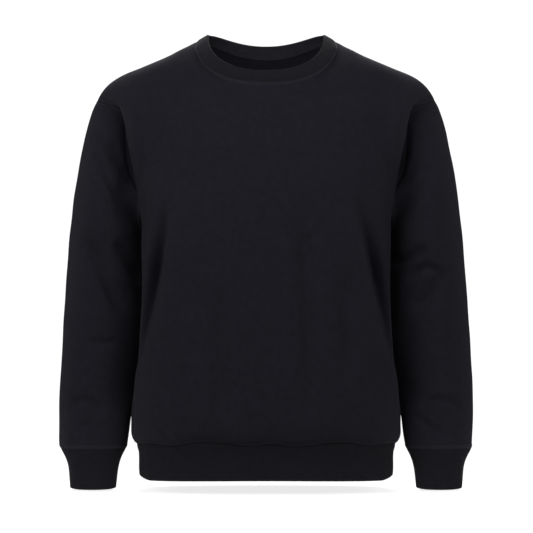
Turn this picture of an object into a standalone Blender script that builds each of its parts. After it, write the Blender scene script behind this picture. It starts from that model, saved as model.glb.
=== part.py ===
"""Crew-neck sweatshirt in heavy black fleece, filled out as if worn but with nobody in it.

The front faces -Y, +Z is up and +X is the wearer's left. The origin is the middle of the body between
the shoulder seams, where the shoulders that carry the garment would be. Every table gives the outer
face of the cloth in millimetres, and the wall is set inwards from it.
"""

import math
from collections import namedtuple

import bpy
import numpy as np

MM = 0.001


def table(columns, *rows):
    """Rows whose values are read by the names of their columns."""
    row_type = namedtuple("Row", columns)
    return [row_type(*row) for row in rows]


# Cloth
FLEECE_WALL = 2.4 * MM
RIB_WALL = 3.0 * MM
HALF_SEAM_GAP = 0.15 * MM
SPLIT_DIRECTION = (0.19, 0.37, 1.0)

# Quads along each piece; pieces that share a seam share its points
NECK_COLUMNS = 18
SHOULDER_COLUMNS = 9
PANEL_COLUMNS = NECK_COLUMNS + 2 * SHOULDER_COLUMNS
SIDE_COLUMNS = 4
ARMHOLE_COLUMNS = 32
ARMHOLE_HALF = ARMHOLE_COLUMNS // 2
UPPER_ROWS = ARMHOLE_HALF - SIDE_COLUMNS // 2
LOWER_ROWS = 14
LOWER_CROWDING = 0.62
SLEEVE_ROWS = 16
CUFF_ROWS = 4
HEM_ROWS = 3
NECK_ROWS = 3

# Body sections from the hem seam up: half width and where it is widest, depths to front and back,
# squareness, the side seams, and how far the arm presses the side in
BODY = table(
    "z half_width widest_y front back square front_seam back_seam press",
    (-622, 208.3, 0, 107.0, 100.0, 2.9, -60, 60, 0),
    (-614, 214.0, 0, 112.4, 105.4, 2.9, -60, 60, 0),
    (-604, 217.4, -2, 116.0, 109.0, 2.9, -60, 60, 0),
    (-590, 218.3, -5, 117.8, 110.8, 2.9, -60, 60, 0.5),
    (-570, 218.4, -10, 118.6, 111.8, 2.9, -59, 59, 2),
    (-527, 214.6, -20, 119.0, 112.4, 2.9, -57, 58, 5),
    (-464, 209.4, -26, 119.4, 113.5, 2.8, -53, 56, 5),
    (-414, 203.8, -28, 119.8, 114.8, 2.7, -48, 54, 5),
    (-362, 201.6, -28, 120.2, 116.2, 2.6, -42, 51, 4.5),
    (-311, 202.4, -28, 120.4, 117.4, 2.6, -34, 48, 4),
    (-272, 203.2, -22, 120.2, 118.2, 2.6, -28, 46, 3),
    (-250, 203.6, -16, 119.8, 118.6, 2.6, -25, 45, 1.5),
    (-225, 204.5, -10, 119.0, 118.8, 2.6, -22, 44, 0),
)
PRESS_Y = 20
PRESS_WIDTH = 45
CHEST_Z = -250
UNDERARM_START = 0.85
SECTION_POINTS = 4001

# Hem band: the same sections, from the seam down to its folded edge
HEM = table(
    "z half_width widest_y front back square front_seam back_seam press",
    (-622, 208.3, 0, 107.0, 100.0, 2.9, -60, 60, 0),
    (-630, 206.8, 0, 105.4, 98.6, 2.9, -60, 60, 0),
    (-642, 206.4, 0, 104.8, 98.0, 2.9, -60, 60, 0),
    (-662, 206.3, 0, 104.6, 97.8, 2.9, -60, 60, 0),
    (-679, 205.6, 0, 104.2, 97.5, 2.9, -60, 60, 0),
)
HEM_BOTTOM_Z = -680.2
HEM_ARCH = 2.4
HEM_ARCH_HALF = 188

# Height of the hem seam across the front, where the fleece is eased on to the rib; the back is the mirror
HEM_SEAM = table(
    "x z",
    (-215, -625.5),
    (-184, -620.0),
    (-156, -622.8),
    (-119, -617.8),
    (-81, -616.2),
    (-51, -619.2),
    (-19, -622.4),
    (3, -618.8),
    (39, -622.2),
    (79, -620.4),
    (136, -617.8),
    (165, -622.4),
    (190, -620.6),
    (215, -625.5),
)

# Top line of the shoulder, from the neck seam to the tip
SHOULDER = table(
    "x y z",
    (115.1, 3.0, 29.6),
    (135.5, 3.5, 17.8),
    (174.6, 4.5, -0.3),
    (200.7, 5.2, -11.2),
    (226.7, 6.2, -21.6),
    (241.5, 6.8, -28.6),
    (252.8, 7.2, -36.4),
    (265.9, 7.6, -49.4),
    (275.7, 8.0, -65.2),
)

# Armhole seam from the shoulder tip down to the underarm, in front and behind
ARMHOLE_FRONT = table(
    "x y z",
    (275.7, 8, -65.2),
    (264.0, -24, -69.5),
    (249.0, -43, -78.0),
    (236.0, -51, -92.0),
    (226.5, -54, -113.0),
    (218.0, -55, -142.0),
    (211.0, -53, -172.0),
    (205.5, -48, -200.0),
    (202.0, -39, -226.0),
    (200.5, -25, -250.0),
    (201.0, -8, -266.0),
    (203.0, 10, -272.0),
)
ARMHOLE_BACK = table(
    "x y z",
    (275.7, 8, -65.2),
    (267.0, 40, -68.5),
    (255.0, 61, -77.5),
    (243.5, 73, -93.0),
    (234.0, 79, -115.0),
    (225.0, 82, -144.0),
    (217.0, 81, -174.0),
    (210.5, 76, -202.0),
    (205.0, 65, -228.0),
    (202.0, 48, -251.0),
    (201.5, 28, -266.5),
    (203.0, 10, -272.0),
)

# Neck: the seam round the opening and the folded top edge of the band
NECK_SQUARE = 2.3
NECK_BACK_RISE = 1.55
NECK_SEAM = dict(half=115.1, side=(3, 29.6), front=(-86, -42), back=(62, 4))
NECK_EDGE = dict(half=94.5, side=(3, 41.6), front=(-75.5, -22), back=(54, 27))
NECK_BULGE = 0.3

# How the panels come up to the seam at the top: lean from upright at the middle, and their fullness
FRONT_LEAN = 22
BACK_LEAN = 34
RISE_MIDDLE = 0.38
RISE_SHOULDER = 0.58
ARRIVE_MIDDLE = 0.34
ARRIVE_SHOULDER = 0.36
NECK_CORNER = 0.24
ARMHOLE_PULL = 7

# How firmly the upper rows keep their place while they are eased, and the rows under the chest eased too
RELAX_HOLD = 0.01
RELAX_BELOW = 2

# The cloth rolls over in front of and behind the armhole seam
ROLL_FRONT = 17
ROLL_BACK = 12
ROLL_PLACE = 0.91
ROLL_WIDTH = 0.1

# Sleeve rings after the armhole: outer and inner line, and depth in front of and behind its middle
SLEEVE = table(
    "along outer_x outer_z inner_x inner_z mid_y front back",
    (40, 289.5, -101, 203.4, -277, 10, 62, 73),
    (80, 299.8, -145, 204.0, -285, 11, 66, 75),
    (125, 308.4, -188, 203.4, -297, 13, 68, 74),
    (175, 315.4, -238, 202.2, -317, 15, 68, 72),
    (230, 321.7, -293, 200.8, -347, 17, 67, 69),
    (290, 326.8, -357, 200.4, -389, 18, 64, 65),
    (355, 331.5, -424, 202.8, -441, 17, 60, 60),
    (420, 335.0, -489, 209.2, -497, 13, 55, 55),
    (480, 337.3, -548, 217.2, -551, 8, 50, 49),
    (530, 337.6, -598, 222.3, -600, 5, 44, 43),
    (558, 336.7, -622, 226.0, -623, 4, 39.5, 38.5),
    (570, 336.2, -632.0, 227.2, -632.0, 4, 37, 36),
)
CUFF = table(
    "along outer_x outer_z inner_x inner_z mid_y front back",
    (570, 336.2, -632.0, 227.2, -632.0, 4, 37, 36),
    (575, 333.5, -636, 230.2, -636, 3.5, 35, 34),
    (581, 329.5, -642, 233.8, -642, 3, 33, 32),
    (589, 325.3, -650, 237.2, -650, 2, 30.5, 29.5),
    (599, 322.7, -660, 240.0, -660, 1, 28.5, 27.5),
    (611, 321.0, -672, 242.0, -672, 0, 27, 26),
    (624, 319.7, -685, 243.5, -685, 0, 26.3, 25.5),
    (635, 319.3, -696.5, 244.6, -696.5, 0, 26, 25),
)
CUFF_TILT = 2.2
CUFF_CROWDING = 1.3
RING_SQUARE = 2.2

# Largest folds, each an arc through three points (x, z) seen from the front or the back, going down: how
# far its line stands out, or sinks in if negative, its width towards -X and +X, and how far the cloth falls
# away beside it, towards +X, or -X if negative
FOLDS = table(
    "part facing start bend end height left right drop",
    ("body", "front", (-139, -205), (-161, -374), (-214, -560), 5, 21, 36, -9),
    ("body", "front", (127, -205), (164, -378), (215, -562), 5, 36, 21, 9),
    ("body", "front", (-66, -370), (-69, -490), (-65, -610), -4.0, 16, 16, 0),
    ("body", "front", (58, -225), (70, -420), (83, -616), -5.0, 15, 17, 0),
    ("body", "front", (126, -340), (129, -430), (131, -515), -3.5, 15, 15, 0),
    ("body", "back", (-150, -205), (-168, -370), (-210, -550), 4, 21, 34, -8),
    ("body", "back", (140, -220), (163, -380), (211, -560), 4, 34, 21, 8),
    ("body", "back", (-40, -280), (-52, -440), (-58, -606), -4.5, 16, 15, 0),
    ("body", "back", (62, -330), (60, -470), (70, -610), -4.0, 15, 16, 0),
    ("sleeve", "front", (-283, -300), (-263, -345), (-238, -400), -6.5, 11, 15, 0),
    ("sleeve", "front", (-254, -277), (-231, -312), (-208, -350), -5.5, 10, 12, 0),
    ("sleeve", "front", (281, -328), (268, -372), (248, -412), -6.5, 14, 11, 0),
    ("sleeve", "front", (270, -332), (246, -350), (220, -356), -6.0, 11, 10, 0),
    ("sleeve", "back", (-286, -296), (-262, -352), (-234, -406), -6.5, 13, 13, 0),
    ("sleeve", "back", (284, -312), (262, -350), (234, -374), -6.5, 13, 13, 0),
    ("sleeve", "front", (-312, -556), (-280, -570), (-242, -562), -4.5, 10, 11, 0),
    ("sleeve", "front", (314, -562), (284, -576), (244, -568), -4.5, 11, 10, 0),
)
DROP_WIDTH = 34
FOLD_SEAM_FADE = 24
FOLD_SEAM_ROWS = 2.5
FOLD_SAMPLES = 81
FOLD_TAPER = 0.3

BLACK_FLEECE = (0.0115, 0.0110, 0.0145, 1.0)
BLACK_RIB = (0.0100, 0.0096, 0.0125, 1.0)


def smooth(at, knots, values):
    """Reads the natural cubic spline through values, one row for each knot, at the places in at."""
    at, knots = np.asarray(at, float), np.asarray(knots, float)
    values = np.asarray(values, float).reshape(len(knots), -1)
    gaps = np.diff(knots)
    slopes = np.diff(values, axis=0) / gaps[:, None]
    system = np.eye(len(knots))
    right = np.zeros_like(values)
    for i in range(1, len(knots) - 1):
        system[i, i - 1 : i + 2] = gaps[i - 1], 2 * (gaps[i - 1] + gaps[i]), gaps[i]
        right[i] = 6 * (slopes[i] - slopes[i - 1])
    bend = np.linalg.solve(system, right)
    i = np.clip(np.searchsorted(knots, at, side="right") - 1, 0, len(gaps) - 1)
    gap, t = gaps[i][:, None], (at - knots[i])[:, None]
    cubic = (bend[i + 1] - bend[i]) / (6 * gap)
    first = slopes[i] - gap * (2 * bend[i] + bend[i + 1]) / 6
    return values[i] + first * t + bend[i] / 2 * t**2 + cubic * t**3


def ease(t):
    """Goes smoothly from 0 to 1."""
    t = np.clip(t, 0, 1)
    return t * t * (3 - 2 * t)


def lengths(points):
    """Distance along a line of points, from 0 to 1."""
    steps = np.linalg.norm(np.diff(points, axis=0), axis=1)
    return np.concatenate([[0], np.cumsum(steps)]) / steps.sum()


def spread(points, fractions):
    """Points at these fractions of the length of a fine line."""
    places = lengths(points)
    return np.stack([np.interp(fractions, places, points[:, k]) for k in range(points.shape[1])], axis=1)


def evenly(count):
    return np.linspace(0, 1, count + 1)


def crowded(count):
    """From 0 to 1 with shorter steps at both ends."""
    t = evenly(count)
    return t - LOWER_CROWDING * np.sin(2 * math.pi * t) / (2 * math.pi)


def unit(vectors):
    return vectors / np.linalg.norm(vectors, axis=-1)[..., None]


def section(row, fractions, part):
    """Points of one body section, in plan: the front or back panel, or the left side panel."""
    angle = np.linspace(-math.pi / 2, math.pi / 2, SECTION_POINTS)
    power = 2 / row.square
    reach = np.where(angle < 0, row.front + row.widest_y, row.back - row.widest_y)
    y = row.widest_y + np.sign(angle) * reach * np.abs(np.sin(angle)) ** power
    x = row.half_width * np.cos(angle).clip(0) ** power
    x = x - row.press * (x / row.half_width) * np.exp(-(((y - PRESS_Y) / PRESS_WIDTH) ** 2))
    right = np.stack([x, y], axis=1)
    if part == "side":
        kept = right[(y > row.front_seam) & (y < row.back_seam)]
        ends = [[np.interp(seam, y, x), seam] for seam in (row.front_seam, row.back_seam)]
        return spread(np.concatenate([ends[:1], kept, ends[1:]]), fractions)
    seam = row.front_seam if part == "front" else row.back_seam
    end = [[np.interp(seam, y, x), seam]]
    if part == "front":
        kept = np.concatenate([right[y < seam], end])
    else:
        kept = np.concatenate([right[y > seam][::-1], end])
    whole = np.concatenate([kept[::-1] * (-1, 1), kept[1:]])
    return spread(whole, fractions)


def lofted(sections, fractions, part, heights):
    """The plan points of each column at each height, on smooth lines through the sections."""
    rows = sorted(sections)
    levels = [row.z for row in rows]
    plans = np.stack([section(row, fractions, part) for row in rows])
    read = smooth(heights, levels, plans.reshape(len(rows), -1))
    return read.reshape(len(heights), len(fractions), 2)


def hem_seam_z(x, y):
    """Height of the hem seam at each point of the lowest row."""
    places, heights = zip(*HEM_SEAM)
    mirrored = np.where(y > 0, -x, x)
    return smooth(mirrored, places, heights)[:, 0]


def neck_loop(half, side, front, back, fractions, part):
    """Half of a loop round the neck, in front or behind, from the wearer's right to left."""
    turn = np.linspace(0, math.pi / 2, 2001)
    power = 2 / NECK_SQUARE
    if part == "front":
        forward = np.sin(turn) ** power
        drop = forward**1.5
        x = half * (1 - drop**NECK_SQUARE).clip(0) ** (1 / NECK_SQUARE)
        y = side[0] + (front[0] - side[0]) * forward
        z = side[1] + (front[1] - side[1]) * drop
    else:
        x = half * np.cos(turn) ** power
        y = side[0] + (back[0] - side[0]) * np.sin(turn) ** power
        share = NECK_BACK_RISE * (x / half) ** 2 - (NECK_BACK_RISE - 1) * (x / half) ** 8
        z = back[1] + (side[1] - back[1]) * share
    quarter = np.stack([x, y, z], axis=1)
    whole = np.concatenate([quarter * (-1, 1, 1), quarter[-2::-1]])
    return spread(whole, fractions)


def top_line(part):
    """Top of the front or back panel: shoulder, neck seam and shoulder."""
    knots = lengths(np.array(SHOULDER))
    shoulder = smooth(evenly(SHOULDER_COLUMNS), knots, SHOULDER)
    neck = neck_loop(**NECK_SEAM, fractions=evenly(NECK_COLUMNS), part=part)
    return np.concatenate([shoulder[::-1] * (-1, 1, 1), neck[1:-1], shoulder])


def armhole():
    """The left armhole seam as a closed loop, from the tip over the front to the underarm and back."""
    front, back = np.array(ARMHOLE_FRONT, float), np.array(ARMHOLE_BACK, float)[::-1]
    loop = np.concatenate([front[:-1], back[:-1]])
    places = np.concatenate([lengths(front)[:-1] / 2, 0.5 + lengths(back)[:-1] / 2])
    knots = np.concatenate([places - 1, places, places + 1])
    around = np.arange(ARMHOLE_COLUMNS) / ARMHOLE_COLUMNS
    return smooth(around, knots, np.concatenate([loop, loop, loop]))


def arrival(part, top, chest, across):
    """Direction in which each column comes up to the top line, lying in the cloth there."""
    towards = 1 if part == "front" else -1
    lean = math.radians(FRONT_LEAN if part == "front" else BACK_LEAN)
    half = len(top) // 2
    line = top[half:]
    along = np.gradient(line, axis=0)
    along[0] = (1, 0, 0)
    along[NECK_COLUMNS // 2] = line[NECK_COLUMNS // 2] - line[NECK_COLUMNS // 2 - 1]
    along = unit(along)
    slope = unit(np.gradient(line[NECK_COLUMNS // 2 :], axis=0))
    shoulder_normal = np.stack([-slope[:, 2], 0 * slope[:, 0], slope[:, 0]], axis=1)
    middle_normal = np.array([0, -towards * math.cos(lean), math.sin(lean)])
    share = ease(line[: NECK_COLUMNS // 2 + 1, :1] / line[NECK_COLUMNS // 2, 0])
    neck_normal = (1 - share) * middle_normal + share * shoulder_normal[0]
    normal = np.concatenate([neck_normal, shoulder_normal[1:]])
    normal = unit(normal - (normal * along).sum(axis=1)[:, None] * along)
    over = ease((across[half:] - NECK_COLUMNS / PANEL_COLUMNS + NECK_CORNER) / (2 * NECK_CORNER))[:, None]
    wished = (1 - over) * unit(line - chest[half:]) + over * np.array([0, towards, 0])
    found = unit(wished - (wished * normal).sum(axis=1)[:, None] * normal)
    return np.concatenate([found[:0:-1] * (-1, 1, 1), found]), np.concatenate([over[:0:-1], over])[:, 0]


def bending(count):
    """Matrix of the squared second differences along a line of points."""
    second = np.zeros((count - 2, count))
    for i in range(count - 2):
        second[i, i : i + 3] = 1, -2, 1
    return second.T @ second


def relaxed(rows, held):
    """The rows with their unevenness eased out as cloth would, all held points left where they are."""
    height, width = rows.shape[:2]
    stiff = np.kron(bending(height), np.eye(width)) + np.kron(np.eye(height), bending(width))
    stiff += RELAX_HOLD * np.eye(height * width)
    points, held = rows.reshape(-1, 3), held.reshape(-1)
    free = ~held
    wanted = RELAX_HOLD * points[free] - stiff[np.ix_(free, held)] @ points[held]
    points = points.copy()
    points[free] = np.linalg.solve(stiff[np.ix_(free, free)], wanted)
    return points.reshape(rows.shape)


def upper_panel(part, chest, heading, loop):
    """Rows of the front or back panel from the chest up to the shoulder seams and the neck."""
    top = top_line(part)
    across = np.linspace(-1, 1, PANEL_COLUMNS + 1)
    arriving, outwards = arrival(part, top, chest, across)
    span = np.linalg.norm(top - chest, axis=1)
    rise = (RISE_MIDDLE + (RISE_SHOULDER - RISE_MIDDLE) * outwards) * span
    arrive = (ARRIVE_MIDDLE + (ARRIVE_SHOULDER - ARRIVE_MIDDLE) * outwards) * span
    first, last = chest + heading * rise[:, None], top - arriving * arrive[:, None]
    t = evenly(UPPER_ROWS)[:, None, None]
    rows = (1 - t) ** 3 * chest + 3 * (1 - t) ** 2 * t * first + 3 * (1 - t) * t**2 * last + t**3 * top
    if part == "front":
        edge = loop[: UPPER_ROWS + 1][::-1]
    else:
        edge = loop[np.arange(-UPPER_ROWS, 1)]
    pull = np.abs(across) ** ARMHOLE_PULL
    left = np.where(across > 0, pull, 0)[None, :, None]
    right = np.where(across < 0, pull, 0)[None, :, None]
    move = edge - rows[:, -1]
    return rows + left * move[:, None] + right * (move * (-1, 1, 1))[:, None]


def armhole_roll(part):
    """How far each point of the upper rows rolls forwards, or backwards behind, beside the armhole."""
    across = np.abs(np.linspace(-1, 1, PANEL_COLUMNS + 1))
    roll = -ROLL_FRONT if part == "front" else ROLL_BACK
    beside = np.exp(-(((across - ROLL_PLACE) / ROLL_WIDTH) ** 2)) * (1 - across**24)
    fading = np.sin(math.pi * evenly(UPPER_ROWS)) ** 1.5
    return roll * fading[:, None] * beside[None]


def lower_part(part, fractions, turned=1):
    """Rows of a panel from the hem seam up to the chest, and how near each row is to the top."""
    low = BODY[0].z
    share = crowded(LOWER_ROWS)
    plan = lofted(BODY, fractions, part, low + share * (CHEST_Z - low))
    seam = hem_seam_z(turned * plan[0, :, 0], plan[0, :, 1])
    z = seam + share[:, None] * (CHEST_Z - seam)
    near = ease((share - UNDERARM_START) / (1 - UNDERARM_START))
    return np.concatenate([plan, z[:, :, None]], axis=2), near[:, None, None]


def body_panel(part, loop):
    """Grid of the front or back panel, with rows from the hem seam up."""
    fractions = evenly(PANEL_COLUMNS)
    lower, near = lower_part(part, fractions)
    corner = loop[UPPER_ROWS if part == "front" else -UPPER_ROWS]
    across = np.linspace(-1, 1, PANEL_COLUMNS + 1)[:, None]
    move = (corner - lower[-1, -1]) * np.where(across < 0, (-1, 1, 1), (1, 1, 1))
    lower = lower + near * np.abs(across) ** ARMHOLE_PULL * move
    just_above = lofted(BODY, fractions, part, [CHEST_Z, CHEST_Z + 1])
    heading = np.concatenate([just_above[1] - just_above[0], np.ones((PANEL_COLUMNS + 1, 1))], axis=1)
    upper = upper_panel(part, lower[-1], unit(heading), loop)
    rows = np.concatenate([lower, upper[1:]])
    held = np.zeros(rows.shape[:2], bool)
    held[: LOWER_ROWS + 1 - RELAX_BELOW] = held[-1] = held[:, 0] = held[:, -1] = True
    held[-2, :SHOULDER_COLUMNS] = held[-2, -SHOULDER_COLUMNS:] = True
    rows = relaxed(rows, held)
    rows[LOWER_ROWS:, :, 1] += armhole_roll(part)
    return rows


def side_panel(loop, turned=1):
    """Grid of the left side panel, from the hem seam up to the underarm; columns run front to back.

    With turned at -1 it has the hem seam of the right side, ready to be mirrored.
    """
    lower, near = lower_part("side", evenly(SIDE_COLUMNS), turned)
    under = loop[UPPER_ROWS : UPPER_ROWS + SIDE_COLUMNS + 1]
    return lower + near * (under - lower[-1])


def ring(row, count):
    """One ring of the left sleeve, from the outer line over the front to the inner line and back."""
    angle = np.arange(count) * 2 * math.pi / count
    power = 2 / RING_SQUARE
    reach = np.sign(np.cos(angle)) * np.abs(np.cos(angle)) ** power
    depth = np.sign(np.sin(angle)) * np.abs(np.sin(angle)) ** power
    x = (row.outer_x + row.inner_x) / 2 + (row.outer_x - row.inner_x) / 2 * reach
    z = (row.outer_z + row.inner_z) / 2 + (row.outer_z - row.inner_z) / 2 * reach
    y = row.mid_y - np.where(depth > 0, row.front, row.back) * depth
    return np.stack([x, y, z], axis=1)


def sleeve(loop):
    """Grid of the left sleeve, with rows from the armhole down to the cuff seam."""
    rings = [loop] + [ring(row, ARMHOLE_COLUMNS) for row in SLEEVE]
    knots = [0] + [row.along for row in SLEEVE]
    places = evenly(SLEEVE_ROWS) * knots[-1]
    read = smooth(places, knots, np.stack(rings).reshape(len(knots), -1))
    return read.reshape(SLEEVE_ROWS + 1, ARMHOLE_COLUMNS, 3)


def cuff():
    """Grid of the left cuff, with rows from its seam down."""
    rings = np.stack([ring(row, ARMHOLE_COLUMNS) for row in CUFF])
    knots = [row.along for row in CUFF]
    share = evenly(CUFF_ROWS) ** CUFF_CROWDING
    places = knots[0] + share * (knots[-1] - knots[0])
    read = smooth(places, knots, rings.reshape(len(knots), -1)).reshape(CUFF_ROWS + 1, ARMHOLE_COLUMNS, 3)
    forward = np.sin(np.arange(ARMHOLE_COLUMNS) * 2 * math.pi / ARMHOLE_COLUMNS)
    read[:, :, 2] -= share[:, None] * CUFF_TILT * forward
    return read


def hem_band():
    """Grid of the hem band, with rows from the seam down; columns go once round."""
    share = evenly(HEM_ROWS)
    heights = HEM[0].z + share * (HEM[-1].z - HEM[0].z)
    pieces = []
    for part, count in (("front", PANEL_COLUMNS), ("side", SIDE_COLUMNS), ("back", PANEL_COLUMNS)):
        pieces.append(lofted(HEM, evenly(count), part, heights))
    front, side, back = pieces
    plan = np.concatenate([front, side[:, 1:], back[:, -2::-1], side[:, -2:0:-1] * (-1, 1)], axis=1)
    seam = hem_seam_z(plan[0, :, 0], plan[0, :, 1])
    bottom = HEM_BOTTOM_Z + HEM_ARCH * (1 - (plan[-1, :, 0] / HEM_ARCH_HALF) ** 2).clip(0)
    z = seam + share[:, None] * (bottom - seam)
    return np.concatenate([plan, z[:, :, None]], axis=2)


def neck_band():
    """Grid of the neck band, with rows from the seam up to its folded edge."""
    loops = []
    for shape in (NECK_SEAM, NECK_EDGE):
        front = neck_loop(**shape, fractions=evenly(NECK_COLUMNS), part="front")
        back = neck_loop(**shape, fractions=evenly(NECK_COLUMNS), part="back")
        loops.append(np.concatenate([front, back[-2:0:-1]]))
    seam, edge = loops
    rise = edge - seam
    run = np.roll(seam, -1, axis=0) - np.roll(seam, 1, axis=0)
    outward = unit(np.cross(run, rise))
    t = evenly(NECK_ROWS)[:, None, None]
    return seam + t * rise + 4 * t * (1 - t) * NECK_BULGE * outward


def mirrored(grid):
    """The wearer's right side of a left piece, with its columns turned so that it still faces out."""
    return (grid * (-1, 1, 1))[:, ::-1]


def grids():
    """Every piece as rows and columns of points on its outer face, in metres, and whether it is a tube."""
    loop = armhole()
    arm, wrist = sleeve(loop)[::-1, ::-1], cuff()[::-1, ::-1]
    pieces = {
        "front": (body_panel("front", loop), False),
        "back": (body_panel("back", loop)[:, ::-1], False),
        "side_panel_left": (side_panel(loop), False),
        "side_panel_right": (mirrored(side_panel(loop, turned=-1)), False),
        "sleeve_left": (arm, True),
        "sleeve_right": (mirrored(arm), True),
        "cuff_left": (wrist, True),
        "cuff_right": (mirrored(wrist), True),
        "hem_band": (hem_band()[::-1], True),
        "neck_band": (neck_band(), True),
    }
    return {name: (np.array(grid) * MM, tube) for name, (grid, tube) in pieces.items()}


def face_normals(grid, tube):
    """Sum of the unit face normals round each point of one piece, each weighted by its corner's angle."""
    if tube:
        grid = np.concatenate([grid, grid[:, :1]], axis=1)
    low, high = slice(None, -1), slice(1, None)
    a, b, c, d = grid[low, low], grid[low, high], grid[high, high], grid[high, low]
    face = unit(np.cross(c - a, d - b))
    total = np.zeros_like(grid)
    for corner, before, after, place in (
        (a, d, b, (low, low)),
        (b, a, c, (low, high)),
        (c, b, d, (high, high)),
        (d, c, a, (high, low)),
    ):
        cosine = (unit(before - corner) * unit(after - corner)).sum(axis=2).clip(-1, 1)
        total[place] += np.arccos(cosine)[:, :, None] * face
    if tube:
        total[:, 0] += total[:, -1]
        total = total[:, :-1]
    return total


def shared_normals(pieces):
    """Unit normals of every piece, the same on both sides of a seam."""
    keys, sums = {}, {}
    for name, (grid, tube) in pieces.items():
        keys[name] = [tuple(key) for key in np.round(grid.reshape(-1, 3) / (0.02 * MM)).astype(int)]
        for key, normal in zip(keys[name], face_normals(grid, tube).reshape(-1, 3)):
            sums[key] = sums.get(key, 0) + normal
    normals = {}
    for name, (grid, tube) in pieces.items():
        normals[name] = unit(np.array([sums[key] for key in keys[name]]).reshape(grid.shape))
    return normals


def from_ends(grid, axis):
    """Distance in millimetres along the cloth from each point to the nearer end of its line."""
    steps = np.linalg.norm(np.diff(grid, axis=axis), axis=2, keepdims=True) / MM
    none = np.zeros_like(steps.take([0], axis))
    start = np.concatenate([none, np.cumsum(steps, axis=axis)], axis=axis)
    whole = start.take([-1], axis)
    return np.minimum(start, whole - start)[:, :, 0]


def seam_fade(grid, name):
    """How much of a fold each point takes: none at a seam, apart from the side seams, which folds cross."""
    ends = ease(from_ends(grid, 0) / FOLD_SEAM_FADE)
    if name.startswith("sleeve"):
        return ends
    rows = np.arange(len(grid))
    side_seam = ease(np.minimum(rows, LOWER_ROWS - rows) / FOLD_SEAM_ROWS)[:, None]
    if name.startswith("side"):
        return side_seam + 0 * ends
    inside = ease(from_ends(grid, 1) / FOLD_SEAM_FADE)
    return inside * ends + (1 - inside) * side_seam


def fold_heights(grid, normals, part):
    """How far the folds move each point of a piece along its normal, in millimetres."""
    flat = grid[:, :, (0, 2)].reshape(-1, 2) / MM
    facing = {
        "front": ease((-normals[:, :, 1].reshape(-1) - 0.1) / 0.4),
        "back": ease((normals[:, :, 1].reshape(-1) - 0.1) / 0.4),
    }
    t = np.linspace(0, 1, FOLD_SAMPLES)[:, None]
    total = np.zeros(len(flat))
    for fold in FOLDS:
        if fold.part != part:
            continue
        first, last = np.array(fold.start, float), np.array(fold.end, float)
        control = 2 * np.array(fold.bend, float) - (first + last) / 2
        line = (1 - t) ** 2 * first + 2 * t * (1 - t) * control + t**2 * last
        heading = unit(np.gradient(line, axis=0))
        away = flat[:, None] - line[None]
        near = np.argmin((away**2).sum(axis=2), axis=1)
        off, along = away[np.arange(len(flat)), near], heading[near]
        across = along[:, 0] * off[:, 1] - along[:, 1] * off[:, 0]
        apart = np.linalg.norm(off, axis=1)
        width = np.where(across < 0, fold.left, fold.right)
        place = t[near, 0]
        taper = ease(place / FOLD_TAPER) * ease((1 - place) / FOLD_TAPER)
        crest = np.exp(-((apart / width) ** 2))
        beyond = np.clip(across * np.sign(fold.drop), 0, None) / DROP_WIDTH
        beside = (1 - np.exp(-(beyond**2) * 2)) * np.exp(-(beyond**2) / 2)
        total += (fold.height * crest - abs(fold.drop) * beside) * taper * facing[fold.facing]
    return total.reshape(grid.shape[:2])


def folded(pieces):
    """The pieces with their folds, which leave every seam where it is."""
    normals = shared_normals(pieces)
    moved = {}
    for name, (grid, tube) in pieces.items():
        part = "sleeve" if name.startswith("sleeve") else "body"
        if name.startswith(("front", "back", "side", "sleeve")):
            rise = fold_heights(grid, normals[name], part) * seam_fade(grid, name) * MM
            grid = grid + rise[:, :, None] * normals[name]
        moved[name] = (grid, tube)
    return moved


def drawn_back(grid, normals, tube):
    """The piece with its edges drawn back, square to the seam's normal, by half of the gap at a seam."""
    moved = grid.copy()
    sides = [(grid, normals, moved)]
    if not tube:
        sides.append(tuple(values.transpose(1, 0, 2) for values in sides[0]))
    for source, normal, target in sides:
        for edge, inner in ((0, 1), (-1, -2)):
            line = source[edge]
            if tube:
                along = np.roll(line, -1, axis=0) - np.roll(line, 1, axis=0)
            else:
                along = np.gradient(line, axis=0)
            outwards = unit(np.cross(along, normal[edge]))
            inward = source[inner] - line
            sign = np.sign((inward * outwards).sum(axis=1))[:, None]
            target[edge] += HALF_SEAM_GAP * sign * outwards
    return moved


def edge_faces(edge, outer, back):
    """Faces between the outer and inner points of one edge, split alike on both sides of a seam."""
    faces = []
    rank = outer.reshape(-1, 3) @ np.array(SPLIT_DIRECTION)
    for first, second in zip(edge[1:], edge[:-1]):
        if rank[first] > rank[second]:
            faces += [(first, second, second + back), (first, second + back, first + back)]
        else:
            faces += [(second, second + back, first + back), (second, first + back, first)]
    return faces


def wall(name, grid, normals, tube, thickness, material):
    """Makes the closed solid between the outer face and the inner one."""
    rows, columns = grid.shape[:2]
    outer = drawn_back(grid, normals, tube)
    inner = outer - normals * thickness
    points = np.concatenate([outer.reshape(-1, 3), inner.reshape(-1, 3)])
    index = np.arange(rows * columns).reshape(rows, columns)
    if tube:
        index = np.concatenate([index, index[:, :1]], axis=1)
    a, b, c, d = index[:-1, :-1], index[:-1, 1:], index[1:, 1:], index[1:, :-1]
    out = np.stack([a, b, c, d], axis=-1).reshape(-1, 4)
    back = rows * columns
    faces = out.tolist() + (out[:, ::-1] + back).tolist()
    edges = [index[0], index[-1, ::-1]]
    if not tube:
        edges += [index[::-1, 0], index[:, -1]]
    for edge in edges:
        faces += edge_faces(edge.tolist(), grid, back)
    mesh = bpy.data.meshes.new(name)
    mesh.from_pydata(points.tolist(), [], faces)
    mesh.validate()
    mesh.shade_smooth()
    mesh.set_sharp_from_angle(angle=math.radians(50))
    mesh.materials.append(material)
    made = bpy.data.objects.new(name, mesh)
    bpy.context.scene.collection.objects.link(made)
    return made


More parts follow.
